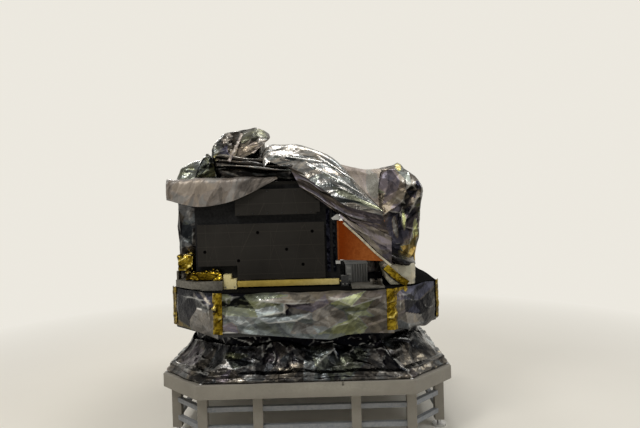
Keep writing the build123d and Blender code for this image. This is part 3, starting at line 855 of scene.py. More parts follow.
def sheet_through(rows, step=STEP):
    """A smooth surface through a grid of given points, its rows listed from the top down."""
    grid = np.array(rows, float)[::-1]
    width = np.linalg.norm(np.diff(grid, axis=1), axis=2).sum(axis=1).max()
    length = np.linalg.norm(np.diff(grid, axis=0), axis=2).sum(axis=0).max()
    tall = blend_rows(grid, max(4, int(length / step)), True)
    wide = blend_rows(tall.transpose(1, 0, 2), max(4, int(width / step)), True)
    return wide.transpose(1, 0, 2)


def seen(rows):
    """Rows of points given by their places in the photograph's frame, and their depth in y."""
    return [[point_at(*mark) for mark in row] for row in rows]


def ribbon(marks, width, outward, step=0.005, crown=0.0):
    """A strip along a line of points, facing outward, with its middle raised by crown."""
    marks = np.array(marks, float)
    length = np.linalg.norm(np.diff(marks, axis=0), axis=1).sum()
    line = blend_rows(marks, max(4, int(length / step)), True)
    across = np.cross(outward, np.gradient(line, axis=0))
    across *= width / 2 / np.linalg.norm(across, axis=1, keepdims=True)
    share = np.linspace(-1, 1, max(4, int(width / step)))[:, None, None]
    return line[None] + share * across[None] + crown * (1 - share ** 2) * np.array(outward, float)


def wrap_levels(levels, rounding, step=STEP, soften=2):
    """A closed skin through outlines at several heights; an outline near a point closes the top."""
    count = int(max(round_marks(corners)[1][-1] for corners, height in levels) / step)
    rings = []
    for corners, height in levels:
        rings.append(np.column_stack([loop(corners, count, rounding), np.full(count, height)]))
    rows = [rings[0][None]]
    for low, high in zip(rings, rings[1:]):
        gap = np.linalg.norm(high - low, axis=1).max()
        rows.append(blend_rows([low, high], max(2, int(gap / step)) + 1)[1:])
    points = np.concatenate(rows)
    for _ in range(soften):
        padded = np.concatenate([points[:1], points, points[-1:]])
        points = (padded[:-2] + 2 * padded[1:-1] + padded[2:]) / 4
    return points


def box_corners(x, y):
    return [(x[1], y[0]), (x[1], y[1]), (x[0], y[1]), (x[0], y[0])]


def boxed(levels):
    """Outlines of boxes, from rows of height, x from, x to, y from, y to."""
    return [(box_corners((x0, x1), (y0, y1)), z) for z, x0, x1, y0, y1 in levels]


def octagon_corners(half, chamfer):
    side = half - chamfer
    corners = [(side, -half), (half, -side), (half, side), (side, half)]
    return corners + [(-x, -y) for x, y in corners]


def octagon_side(index):
    """The outward direction of an octagon's side, counted round from the right one."""
    turn = math.radians(45 * index)
    return (math.cos(turn), math.sin(turn), 0)


def shrunk(corners, share):
    """An outline drawn in towards its middle."""
    corners = np.array(corners, float)
    middle = corners.mean(axis=0)
    return [tuple(middle + share * (corner - middle)) for corner in corners]


# Film round the bus

BAND_NAMES = ["front_right", "right", "rear_right", "rear", "rear_left", "left", "front_left", "front"]
BAND_LIFT = 0.014
BAND_TOP = BLANKET_TOP + 0.010
# Size of the random facets, and how far from its ends a panel is pulled in
BAND_CELL = (0.125, 0.085)
BAND_PULL = 0.06
# Points round the band's outline, and the rounding of its corners
OUTLINE_POINTS, BAND_ROUNDING = 2400, 0.010
FRONT_HEM = [
    # x and z along the lower edge of the front panel
    (-0.57, 0.722), (-0.484, 0.730), (-0.372, 0.712), (0.009, 0.673), (0.159, 0.662), (0.265, 0.690),
    (0.396, 0.700), (0.57, 0.690),
]
FRONT_MARKS = [
    # pixels across and down, relief in millimetres, tone change in hundredths (partly painted reflection),
    # hue
    (216, 289, 0, -24, NAVY), (232, 290, 2, -30, NAVY), (247, 291.5, 10, -6, SAGE), (270, 291, 4, -4, SAGE),
    (300, 289.5, 6, 0, BEIGE), (322, 290, 4, -4, BEIGE), (345, 290.5, 4, -6, BEIGE),
    (366, 290.5, 4, -2, BEIGE), (388, 290, 0, 2, BEIGE), (222, 300, 10, -4, SAGE),
    (233, 296.5, 14, 6, SAGE), (244, 296, 6, -30, PLAIN), (229, 306, 4, -26, SAGE), (262, 300, 16, 4, SAGE),
    (290, 295.5, 12, 0, BEIGE), (325, 294.5, 12, -2, BEIGE), (337, 299, 18, 22, LIME),
    (352, 305.5, 14, 30, LIME), (366, 310, 6, 10, LIME), (374, 299, 8, -4, BEIGE), (388, 303, 4, 4, BEIGE),
    (216, 312, 4, -14, PURPLE), (226, 315.5, 12, 10, SAGE), (255, 309, 8, 4, SAGE),
    (285, 303, 16, 16, BEIGE), (289, 307, 8, -8, NAVY), (313, 303, 10, -10, PURPLE),
    (329, 303.5, 10, -2, PURPLE), (344, 311, 8, 6, SAGE), (216, 328, 2, -12, PURPLE),
    (232, 322, 10, 16, BLUE), (258, 317, 12, 20, BLUE), (284, 311, 14, 20, BLUE),
    (287, 315.5, 2, -10, PLAIN), (312, 312, 8, 6, BLUE), (327, 316, 12, 14, PLAIN),
    (348, 319.5, 4, -8, PURPLE), (358, 315.5, 10, 8, SAGE), (375, 316, 4, 2, BEIGE), (388, 319, 0, 4, SAGE),
    (237, 326, 10, 20, PURPLE), (248, 328.5, 4, -2, BLUE), (268, 322.5, 14, 20, BLUE),
    (296, 320, 12, 26, BLUE), (312, 325, 4, -6, PURPLE), (330, 327, 14, 20, SAGE), (350, 322, 8, 16, SAGE),
    (368, 327, 4, -6, PURPLE), (388, 333, 0, -5, BEIGE), (216, 338, 0, -4, PLAIN),
    (240, 336.5, 6, 16, BLUE), (274, 330.5, 8, 16, GOLD), (290, 333.5, 6, 8, PLAIN),
    (318, 334, 8, 18, BLUE), (345, 333, 4, 6, SAGE), (362, 334, 10, 16, GOLD), (216, 346, 0, 0, PLAIN),
    (248, 345, 2, 6, PURPLE), (285, 346, 4, 6, BLUE), (326, 347, 6, 6, BLUE), (352, 344, 2, 0, PURPLE),
    (388, 346, 0, -10, PLAIN),
]
LEFT_MARKS = [
    # the same for the left corner panel
    (170, 284, 0, -36, NAVY), (186, 285.5, 4, -44, NAVY), (194, 287, 10, -36, NAVY),
    (206, 289, 0, -38, NAVY), (222, 290, 0, -36, NAVY), (170, 300, 6, -16, PURPLE),
    (184, 304, 12, -44, NAVY), (194, 292, 14, -34, NAVY), (207, 304.5, 18, -10, PLAIN),
    (222, 302, 4, -24, NAVY), (170, 313, 4, -28, NAVY), (190, 309, 10, -38, NAVY), (191, 320, 8, -38, NAVY),
    (199, 309, 12, 14, SAGE), (210, 316, 10, 16, PLAIN), (222, 314, 4, 4, PURPLE), (170, 324, 0, 0, GOLD),
    (191, 327, 4, 4, GOLD), (200, 324, 8, 10, PLAIN), (212, 330, 4, 5, PURPLE), (224, 336, 0, -10, PLAIN),
    (170, 334, 0, 0, GOLD), (195, 338, 0, -5, PLAIN),
]
RIGHT_MARKS = [
    # the same for the right corner panel
    (387, 288, 0, -15, BLUE), (400, 286.5, 10, -20, NAVY), (415, 283, 0, -15, NAVY),
    (443, 277, 0, -20, PLAIN), (387, 303, 6, -10, PURPLE), (402, 299, 14, 12, BLUE),
    (418, 300, 6, -30, NAVY), (443, 295, 4, -20, PLAIN), (387, 318, 8, 2, BEIGE), (405, 312, 4, -25, NAVY),
    (420, 314, 12, 10, BLUE), (443, 308, 2, -10, PLAIN), (387, 333, 0, -10, SAGE), (408, 327, 8, 10, PLAIN),
    (424, 322, 4, -25, NAVY), (443, 320, 0, -10, PLAIN), (400, 345, 0, -10, PLAIN),
    (443, 334, 0, -10, PLAIN),
]
# Painted highlights on the left corner panel: a pale diagonal streak and a short pale glint
LEFT_PAINTED_HIGHLIGHTS = [
    # x, z, half sizes, turn in degrees, tone change, hue
    (-0.645, 0.948, 0.080, 0.009, -34, 0.60, PLAIN),
    (-0.665, 0.858, 0.024, 0.007, 0, 0.60, PLAIN),
]


def band_outline(out):
    """The band's octagon, moved out."""
    return octagon_corners(BAND_HALF + out, BAND_CHAMFER + out * CUT_GROWTH)


def band_marks(out):
    """How far round the octagon its corners lie, from the front right one."""
    return round_marks(band_outline(out))[1]


def band_patch(start, stop, out, low, high):
    """Part of the band's face, between two distances round its octagon and two heights or edges."""
    at = np.linspace(start, stop, max(4, int((stop - start) / STEP)))
    flat = points_round(loop(band_outline(out), OUTLINE_POINTS, BAND_ROUNDING), at)
    low, high = [np.broadcast_to(edge(flat) if callable(edge) else edge, len(at)) for edge in (low, high)]
    share = np.linspace(0, 1, max(4, int((high - low).max() / STEP)))[:, None]
    points = np.empty((len(share), len(at), 3))
    points[..., :2] = flat[None]
    points[..., 2] = low * (1 - share) + high * share
    return points


def plain_hem(flat):
    """A wavy lower edge a little below the lower deck."""
    turn = flat @ (3.0, 4.3)
    return BAND_BOTTOM + 0.004 + 0.012 * np.sin(2.3 * turn) + 0.007 * np.sin(5.9 * turn + 1.0)


def front_hem(flat):
    marks = np.array(FRONT_HEM)
    return np.interp(flat[:, 0], marks[:, 0], marks[:, 1])


def upper_edge(flat):
    return BAND_TOP + 0.003 * np.sin(17 * flat[:, 0] + 9 * flat[:, 1]) + 0.002 * np.sin(41 * flat[:, 0])


def make_band():
    """Eight film panels, each pulled in at its ends under the corner tapes."""
    marks = band_marks(BAND_LIFT)
    drawn = {"front": FRONT_MARKS, "front_left": LEFT_MARKS, "front_right": RIGHT_MARKS}
    for index, name in enumerate(BAND_NAMES):
        low = front_hem if name == "front" else plain_hem
        points = band_patch(marks[index], marks[index + 1], BAND_LIFT, low, upper_edge)
        rows, columns = points.shape[:2]
        outward = octagon_side(index - 1)
        if name in drawn:
            creases = marked(drawn[name], points[rows // 2, columns // 2], outward)
        else:
            creases = scattered(points, outward, 20 + index, BAND_CELL, -0.04)
        along = np.linspace(0, marks[index + 1] - marks[index], columns)
        ends = np.clip(np.minimum(along, along[-1] - along) / BAND_PULL, 0.1, 1)
        rise = np.linspace(0, 1, rows)
        # Flatter towards the hem and along the top edge
        rim = np.clip(np.minimum(1.4 * rise + 0.4, 6 * (1 - rise)), 0.2, 1)
        add_film(
            f"band_film_{name}", points, "film_band", "smooth", 20 + index, hold=ends * rim[:, None],
            amount=0.7, contrast=0.9, facets=[(outward, creases)], bend=1.5, stretch=2.2,
            patches=LEFT_PAINTED_HIGHLIGHTS if name == "front_left" else (),
            replaces=[f"band_blanket_{name}"],
        )


TAPE_HALF_WIDTH = 0.040
TAPE_NARROWED = 0.85
TAPE_LIFT = 0.022
TOP_TAPE_END = 0.15
TOP_TAPE_BOTTOM = 0.935
KNOT = [
    # x, z, x, z, height, width of the gentler side
    (-0.575, 0.880, -0.545, 0.880, 0.016, 0.028),
    (-0.565, 0.860, -0.560, 0.905, 0.010, 0.020),
]


def make_corner_tapes():
    """Gold tape over each corner of the band, and one length along the top at the right."""
    marks = band_marks(TAPE_LIFT)
    names = BAND_NAMES[-1:] + BAND_NAMES[:-1]
    for index, mark in enumerate(marks[:-1]):
        half = TAPE_HALF_WIDTH * (TAPE_NARROWED if index % 2 else 1.0)
        points = band_patch(mark - half, mark + half, TAPE_LIFT, BAND_BOTTOM + 0.022, DECK_TOP + 0.002)
        add_film(
            f"corner_tape_{names[index]}", points, "film_gold", "tape", 120 + index, folds=KNOT,
        )
    start, stop = marks[0] + TAPE_HALF_WIDTH, marks[0] + TOP_TAPE_END
    points = band_patch(start, stop, TAPE_LIFT - 0.002, TOP_TAPE_BOTTOM, DECK_TOP)
    add_film("top_edge_tape", points, "film_gold", "tape", 131)


SKIRT_CELL = (0.10, 0.085)
SKIRT_PATCHES = [
    # x, z, half sizes, turn in degrees, tone change, hue
    (0.28, 0.50, 0.12, 0.06, 25, 0.14, SAGE),
    (-0.46, 0.555, 0.09, 0.020, 0, 0.05, LIME),
    (-0.12, 0.465, 0.10, 0.030, 15, 0.08, BEIGE),
    (-0.80, 0.52, 0.10, 0.050, 0, 0.02, PURPLE),
]


def make_skirt():
    """Crushed film from the lower bay out to the stand, and the shiny dark film behind it, painted darker as
    shade under the band.
    """
    half, _, top = bounds_of("skirt_blanket")[1]
    reach = half - LOWER_HALF
    slope = (LOWER_CHAMFER - SKIRT_CHAMFER) / reach
    levels = [
        # distance outside the lower bay, height
        (reach + 0.004, PLINTH_TOP + 0.006),
        (reach + 0.006, PLINTH_TOP + 0.018),
        (reach - 0.014, PLINTH_TOP + 0.030),
        (reach - 0.010, PLINTH_TOP + 0.046),
        (reach - 0.046, PLINTH_TOP + 0.062),
        (reach - 0.100, PLINTH_TOP + 0.130),
        (0.030, top),
    ]
    outlines = [(octagon_corners(LOWER_HALF + out, LOWER_CHAMFER - slope * out), z) for out, z in levels]
    points = wrap_levels(outlines, 0.03)
    # The upper part waves up and down and is painted darker as shade under the band, and the foot is pulled
    # flat
    rise = np.clip((points[..., 2] - PLINTH_TOP - 0.08) / 0.12, 0, 1)
    turn = points[..., 0] * 7.0 + points[..., 1] * 4.0
    points[..., 2] += rise * (0.014 * np.sin(turn) + 0.010 * np.sin(2.7 * turn + 1.0))
    sides = [octagon_side(index) for index in range(8)]
    add_film(
        "skirt_film", points, "film_dark", "crushed", 41, closed=True, tone=-0.24 * rise, amount=0.62,
        facets=scattered_sides(points, 180, SKIRT_CELL, sides, 0.06), bend=1.5, turn=EIGHTH_TURN,
        hold=0.35 + 0.65 * np.clip((points[..., 2] - PLINTH_TOP) / 0.06, 0, 1), patches=SKIRT_PATCHES,
        replaces=["skirt_blanket"],
    )
    levels = [
        (octagon_corners(LOWER_HALF + 0.014, LOWER_CHAMFER + 0.004), top - 0.07),
        (octagon_corners(LOWER_HALF + 0.010, LOWER_CHAMFER + 0.004), BAND_BOTTOM - 0.004),
    ]
    # Dark film, painted darker still as shade in the recess under the band
    add_film(
        "recess_film", wrap_levels(levels, 0.03), "film_dark", "crushed", 43, closed=True, amount=0.6,
        tone=-0.60,
    )


# Wrapped units

UNIT_CELL = (0.13, 0.12)


def wrap_unit(side, gaps, shoulder, drops, shares, rounding, seeds, outwards, amount):
    """Film over a box on the deck: straight up to its shoulder, then drawn in over its top.

    The gaps are those at the left, at the right and at both ends. The drops are from the box's top, each
    with the share of the outline that is left there.
    """
    unit = f"{side}_wrapped_unit"
    low, high = bounds_of(unit)
    corners = box_corners((low[0] + gaps[0], high[0] - gaps[1]), (low[1] + gaps[2], high[1] - gaps[2]))
    levels = [(corners, DECK_TOP + 0.004), (corners, shoulder)]
    levels += [(shrunk(corners, share), high[2] - drop) for share, drop in zip(shares, drops)]
    points = wrap_levels(levels, rounding)
    add_film(
        f"{side}_unit_film", points, "film_dark", "creased", seeds[0], closed=True, tone=0.04,
        amount=amount, contrast=0.8, facets=scattered_sides(points, seeds[1], UNIT_CELL, outwards), bend=1.5,
        replaces=[unit],
    )


def make_wraps():
    wrap_unit(
        "left", gaps=(0.012, 0.002, 0.010), shoulder=1.60, drops=(0.014, 0.012), shares=(0.94, 0.10),
        rounding=0.02, seeds=(51, 52), outwards=(FRONT, REAR, LEFT), amount=0.6,
    )
    rear_top = bounds_of("rear_wrapped_unit")[1][2]
    wrap_unit(
        "rear", gaps=(0.012, 0.012, 0.012), shoulder=rear_top - 0.03, drops=(0.012, 0.006),
        shares=(0.93, 0.05), rounding=0.03, seeds=(53, 56), outwards=(FRONT, REAR, LEFT, RIGHT), amount=0.7,
    )


TOWER_LEVELS = [
    # height, x from, x to, y from, y to
    (0.974, 0.520, 0.765, -0.545, -0.205),
    (1.140, 0.512, 0.775, -0.552, -0.200),
    (1.330, 0.506, 0.800, -0.556, -0.198),
    (1.520, 0.503, 0.826, -0.556, -0.196),
    (1.610, 0.500, 0.838, -0.556, -0.196),
    (1.690, 0.508, 0.795, -0.550, -0.204),
    (1.742, 0.530, 0.728, -0.530, -0.250),
    (1.778, 0.640, 0.705, -0.470, -0.345),
    (1.796, 0.674, 0.682, -0.410, -0.400),
]
TOWER_MARKS = [
    # pixels across and down, relief in millimetres, tone change in hundredths (partly painted reflection),
    # hue
    (402, 163, 0, 20, GOLD), (394, 168, 0, 0, PURPLE), (382, 172, 0, 0, BEIGE), (409, 171, 0, 5, BLUE),
    (419, 179, 0, -10, NAVY), (427, 185, 0, -10, BEIGE), (371, 183, 0, 0, SAGE), (378, 180, 6, 8, PURPLE),
    (388, 182, 14, 12, PURPLE), (400, 181, 12, 8, PLAIN), (405, 179, 4, 16, BLUE),
    (411, 184, 16, 25, PLAIN), (417, 190, 4, -20, NAVY), (425, 194, 0, -5, LIME), (370, 194, 0, 6, SAGE),
    (385, 193, 14, 12, PURPLE), (395, 197, 12, 10, PURPLE), (402, 201, 16, 10, BEIGE),
    (406, 190, 6, 0, BEIGE), (410, 197, 0, -25, NAVY), (416, 198.5, 12, 25, PLAIN),
    (423, 201, 0, -10, LIME), (374, 198.5, 2, 24, BEIGE), (382, 205, 6, 24, BEIGE),
    (389, 211, 10, 26, BEIGE), (397, 206, 8, -10, PLAIN), (403, 206, 5, 0, PLAIN),
    (407, 205, 4, -10, PURPLE), (413, 206, 12, 5, BEIGE), (423, 208, 0, 0, GOLD), (383, 216, 4, -5, PURPLE),
    (391, 216, 0, -12, NAVY), (400, 213, 12, -16, NAVY), (404, 213, 4, 34, GOLD), (408, 215, 3, -5, PURPLE),
    (413, 216, 0, -20, PLAIN), (421, 217, 3, 10, GOLD), (384, 230, 2, -12, PURPLE),
    (393, 228, 4, -10, NAVY), (397, 226, 5, 2, NAVY), (401, 229, 2, -16, NAVY), (404, 226, 6, 32, GOLD),
    (409, 230, 4, -2, PURPLE), (413, 229, 10, -10, LIME), (421, 229, 4, 12, GOLD), (384, 245, 0, -15, NAVY),
    (394, 244, 8, -18, NAVY), (400, 246, 4, -12, NAVY), (404, 243, 6, 0, BEIGE), (409, 244, 10, 12, GOLD),
    (414, 246, 4, 25, GOLD), (421, 244, 0, 0, PLAIN), (384, 266, 0, -20, NAVY), (400, 262, 4, -20, PLAIN),
    (408, 260, 6, 25, GOLD), (421, 263, 0, 20, GOLD), (384, 300, 0, -20, NAVY), (421, 300, 0, -10, PLAIN),
]
TOWER_FRONT = -0.56
TOWER_CELL = (0.075, 0.10)
APEX_HEIGHT = 1.80
# The blue streak at x 0.634 and the pale streak at x 0.768, z 1.62 are painted highlights
TOWER_PATCHES = [
    # x, z, half sizes, turn in degrees, tone change, hue
    (0.672, 1.768, 0.020, 0.036, 0, 0.25, GOLD),
    (0.705, 1.375, 0.105, 0.125, 0, -0.12, NAVY),
    (0.634, 1.340, 0.016, 0.070, 8, 0.30, BLUE),
    (0.691, 1.395, 0.018, 0.080, 3, 0.46, GOLD),
    (0.768, 1.325, 0.018, 0.080, -4, 0.38, GOLD),
    (0.755, 1.165, 0.040, 0.034, 20, 0.22, GOLD),
    (0.768, 1.620, 0.016, 0.040, 20, 0.20, PLAIN),
    (0.795, 1.560, 0.016, 0.040, -15, 0.34, BEIGE),
]

CUFF_SHEET = [
    # pixels across and down, y: the dark film over the top of the pouch, from the back
    [(391, 246.0, -0.560), (399, 249.0, -0.560), (407, 252.5, -0.560), (413.0, 255.5, -0.560)],
    [(391, 250.0, -0.680), (399, 252.5, -0.690), (407, 256.0, -0.690), (414.0, 259.0, -0.640)],
    [(391.5, 254.0, -0.770), (399, 257.0, -0.790), (407, 260.0, -0.785), (415.5, 262.5, -0.725)],
    [(392, 259.0, -0.800), (399, 261.5, -0.815), (407, 263.5, -0.806), (415.0, 264.5, -0.745)],
    [(392, 262.5, -0.796), (399, 264.5, -0.806), (407, 265.5, -0.800), (413.5, 266.0, -0.744)],
]
POUCH_TAPES = [
    # name, its line, width, film, seed, amount, tone
    ("pouch_tape", [(0.530, -0.802, 1.096), (0.600, -0.806, 1.030), (0.668, -0.803, 0.980)],
     0.044, "film_gold", 64, 0.7, 0.0),
    # A dark strip along the gold tape, laid as painted shadow
    ("pouch_shadow_tape", [(0.508, -0.800, 1.094), (0.572, -0.803, 1.026), (0.640, -0.801, 0.978)],
     0.020, "film_dark", 65, 0.5, -0.2),
]
# y of the pouch's front, of the end of its bevel and of its back
POUCH_DEPTHS = (-0.790, -0.760, -0.570)
POUCH_BEVEL = 0.030


def pouch_corners(left, right):
    """The pouch's outline between two x, with its front right corner bevelled."""
    front, bevelled, back = POUCH_DEPTHS
    return [(right - POUCH_BEVEL, front), (right, bevelled), (right, back), (left, back), (left, front)]


def make_tower():
    points = wrap_levels(boxed(TOWER_LEVELS), 0.035, 0.006, soften=5)
    facets = front_facets(TOWER_MARKS, TOWER_FRONT)
    facets += scattered_sides(points, 160, TOWER_CELL, (RIGHT, REAR, LEFT))
    add_film(
        "instrument_film", points, "film_bronze", "creased", 61, closed=True, amount=0.65, angle=60,
        contrast=0.9, facets=facets, bend=1.4, tone=0.09, patches=TOWER_PATCHES,
        hold=np.clip((APEX_HEIGHT - points[..., 2]) / 0.05, 0.15, 1),
        replaces=["wrapped_instrument"],
    )
    add_film(
        "cuff_film", sheet_through(seen(CUFF_SHEET), 0.005), "film_dark", "draped", 67, amount=0.4,
        tone=-0.22,
    )
    top = pouch_corners(0.512, 0.731)
    levels = [
        (pouch_corners(0.560, 0.727), DECK_TOP + 0.006),
        (pouch_corners(0.532, 0.728), 1.010),
        (pouch_corners(0.508, 0.730), 1.096),
        (shrunk(top, 0.93), 1.110),
        (shrunk(top, 0.1), 1.112),
    ]
    add_film(
        "pouch_film", wrap_levels(levels, 0.012, 0.005), "film_cream", "creased", 63, closed=True,
        amount=0.35, replaces=["instrument_pouch"],
    )
    for name, line, width, finish, seed, amount, tone in POUCH_TAPES:
        add_film(
            name, ribbon(line, width, FRONT), finish, "tape", seed, amount=amount, tone=tone,
        )


ACTUATOR_PARTS = [
    # name, x, y, z, seed, tone
    ("actuator_film", (-0.846, -0.742), (-0.686, -0.570), (1.092, 1.200), 71, 0.00),
    ("actuator_neck_film", (-0.788, -0.742), (-0.716, -0.584), (1.030, 1.094), 72, -0.16),
    ("actuator_tail_film", (-0.736, -0.540), (-0.766, -0.704), (1.030, 1.092), 73, -0.22),
]


def make_actuator():
    for name, x, y, (low, high), seed, shade in ACTUATOR_PARTS:
        corners = np.array(box_corners(x, y))
        draw = np.random.default_rng(seed)
        levels = [(shrunk(corners, 0.96), low)]
        for share in (0.12, 0.38, 0.62, 0.88):
            levels.append((corners + draw.uniform(-0.008, 0.004, (4, 2)), low + share * (high - low)))
        levels += [(shrunk(corners, 0.7), high), (shrunk(corners, 0.1), high + 0.002)]
        replaced = ["wrapped_actuator"] if name == "actuator_film" else []
        add_film(
            name, wrap_levels(levels, 0.010, 0.004), "film_gold", "foil", seed, closed=True, amount=1.2,
            contrast=1.3, tone=shade, replaces=replaced,
        )


# Loose film over the top

TAUPE_BACK = [
    # x, y, z from the back to the front; columns from left to right
    [(-0.860, 0.46, 1.676), (-0.60, 0.55, 1.702), (-0.34, 0.47, 1.722), (-0.06, 0.60, 1.702),
     (0.215, 0.52, 1.708)],
    [(-0.892, 0.24, 1.698), (-0.62, 0.27, 1.722), (-0.35, 0.25, 1.700), (-0.08, 0.28, 1.722),
     (0.232, 0.24, 1.700)],
    [(-0.902, -0.02, 1.702), (-0.60, 0.02, 1.702), (-0.40, 0.00, 1.718), (-0.10, 0.00, 1.700),
     (0.230, 0.00, 1.698)],
    [(-0.902, -0.25, 1.702), (-0.62, -0.25, 1.706), (-0.38, -0.25, 1.702), (-0.10, -0.25, 1.700),
     (0.220, -0.25, 1.690)],
    [(-0.903, -0.60, 1.702), (-0.65, -0.60, 1.704), (-0.45, -0.60, 1.703), (-0.25, -0.60, 1.700),
     (-0.100, -0.60, 1.690)],
]
TAUPE_FRONT = [
    # pixels across and down, y: the front lip, the middle and the hem
    [(166.5, 181.5, -0.742), (196, 179.0, -0.745), (224, 178.8, -0.745), (250, 177.8, -0.743),
     (277, 176.7, -0.738)],
    [(166.0, 191.0, -0.757), (196, 193.0, -0.762), (224, 191.5, -0.760), (249, 186.5, -0.756),
     (277, 177.7, -0.748)],
    [(166.5, 200.3, -0.752), (196, 206.8, -0.757), (224, 203.4, -0.755), (248, 194.3, -0.752),
     (277, 178.7, -0.750)],
]
# The darker patch at x -0.30 is painted shade over the right part of the front
TAUPE_PATCHES = [
    # x, z, half sizes, turn in degrees, tone change, hue
    (-0.30, 1.655, 0.13, 0.045, 12, -0.30, PLAIN),
    (-0.72, 1.640, 0.12, 0.050, 0, 0.06, BEIGE),
]

HUMP_BACK = [
    # x, y, z from the back to behind the ridge; columns from left to right
    [(-0.262, -0.07, 1.70), (-0.235, -0.10, 1.72), (-0.05, -0.09, 1.73), (0.12, -0.10, 1.72),
     (0.24, -0.14, 1.71), (0.27, -0.20, 1.70), (0.29, -0.26, 1.69)],
    [(-0.268, -0.30, 1.70), (-0.240, -0.30, 1.88), (-0.04, -0.28, 1.89), (0.14, -0.28, 1.84),
     (0.25, -0.33, 1.77), (0.29, -0.40, 1.74), (0.33, -0.48, 1.70)],
]
HUMP_FRONT = [
    # pixels across and down, y: the ridge, two rows of the front slope, the lower edge
    [(262, 176, -0.560), (266, 148.0, -0.560), (284, 144.5, -0.550), (304, 146.3, -0.570),
     (334, 158.5, -0.640), (361, 188.5, -0.800), (383.3, 211.0, -0.925)],
    [(262, 176, -0.660), (264, 152.5, -0.660), (283, 152.0, -0.660), (303, 156.0, -0.670),
     (330, 167.5, -0.720), (356, 193.0, -0.850), (383.6, 212.4, -0.936)],
    [(262, 176, -0.700), (265, 157.5, -0.710), (284, 160.5, -0.715), (304, 168.0, -0.730),
     (328, 179.0, -0.790), (352, 198.0, -0.880), (383.4, 213.8, -0.942)],
    [(262, 176, -0.725), (268, 162.5, -0.735), (286, 168.0, -0.740), (306, 178.0, -0.755),
     (324, 190.0, -0.815), (346, 205.5, -0.885), (382.4, 215.6, -0.946)],
]
HUMP_FOLDS = [
    # x, z, x, z, height, width of the gentler side
    (0.10, 1.845, 0.55, 1.500, 0.010, 0.014),
    (0.02, 1.800, 0.40, 1.560, 0.010, 0.014),
    (-0.22, 1.850, 0.16, 1.790, 0.010, 0.016),
]
# The pale patch at x -0.10 near the top of the ridge is a painted highlight
HUMP_PATCHES = [
    # x, z, half sizes, turn in degrees, tone change, hue
    (0.42, 1.500, 0.10, 0.010, -24, 0.30, LIME),
    (0.30, 1.560, 0.16, 0.022, -30, -0.10, SAGE),
    (-0.10, 1.860, 0.10, 0.030, 0, 0.20, PLAIN),
]

UNDER_SHEET = [
    # pixels across and down, y: the darker layer below the bright one
    [(288, 166, -0.745), (306, 175, -0.750), (320, 186, -0.775), (345, 201, -0.850), (381, 212, -0.934)],
    [(294, 176, -0.748), (312, 187, -0.757), (328, 201, -0.785), (352, 216, -0.850), (386, 226, -0.938)],
    [(300, 187, -0.745), (318, 199, -0.757), (337, 213, -0.778), (360, 228, -0.852), (391, 240, -0.948)],
]
BORDER_SHEET = [
    # pixels across and down, y: the pale border that hangs in front of the orange door
    [(338, 211.5, -0.790), (356, 219.0, -0.845), (374, 227.5, -0.905), (391.3, 236.5, -0.958)],
    [(341, 217.5, -0.793), (358, 230.0, -0.848), (375, 242.5, -0.908), (391.6, 251.0, -0.960)],
    [(344, 222.5, -0.795), (360.5, 237.5, -0.850), (376.5, 253.0, -0.910), (391.5, 265.5, -0.958)],
]
HEM_LINE = [
    # pixels across and down, y
    (343.5, 222.8, -0.798), (360, 237.7, -0.854), (376, 253.0, -0.914), (391, 265.3, -0.961),
]
DOOR_OUTWARD = (-0.5, -0.866, 0)

BRIDGE_BACK = [
    # x, y, z between the hump and the wrapped instrument
    [(0.235, -0.25, 1.715), (0.35, -0.27, 1.712), (0.47, -0.27, 1.720), (0.56, -0.29, 1.735)],
    [(0.235, -0.48, 1.755), (0.35, -0.48, 1.750), (0.47, -0.48, 1.748), (0.57, -0.47, 1.755)],
]
BRIDGE_FRONT = [
    # pixels across and down, y
    [(336, 163.5, -0.600), (351, 168.0, -0.600), (364, 172.0, -0.585), (380, 173.5, -0.545)],
    [(340, 172.0, -0.655), (354, 179.0, -0.660), (366, 184.0, -0.640), (379, 182.0, -0.575)],
    [(344, 186.0, -0.690), (358, 194.0, -0.700), (368, 197.0, -0.650), (378, 194.0, -0.580)],
    [(348, 198.0, -0.700), (362, 207.0, -0.700), (373, 210.0, -0.650), (379, 208.0, -0.585)],
]
# The darker patch at x 0.48 is painted shade
BRIDGE_PATCHES = [
    # x, z, half sizes, turn in degrees, tone change, hue
    (0.48, 1.640, 0.045, 0.100, 10, -0.17, SAGE),
    (0.36, 1.715, 0.080, 0.014, -8, -0.18, BEIGE),
]

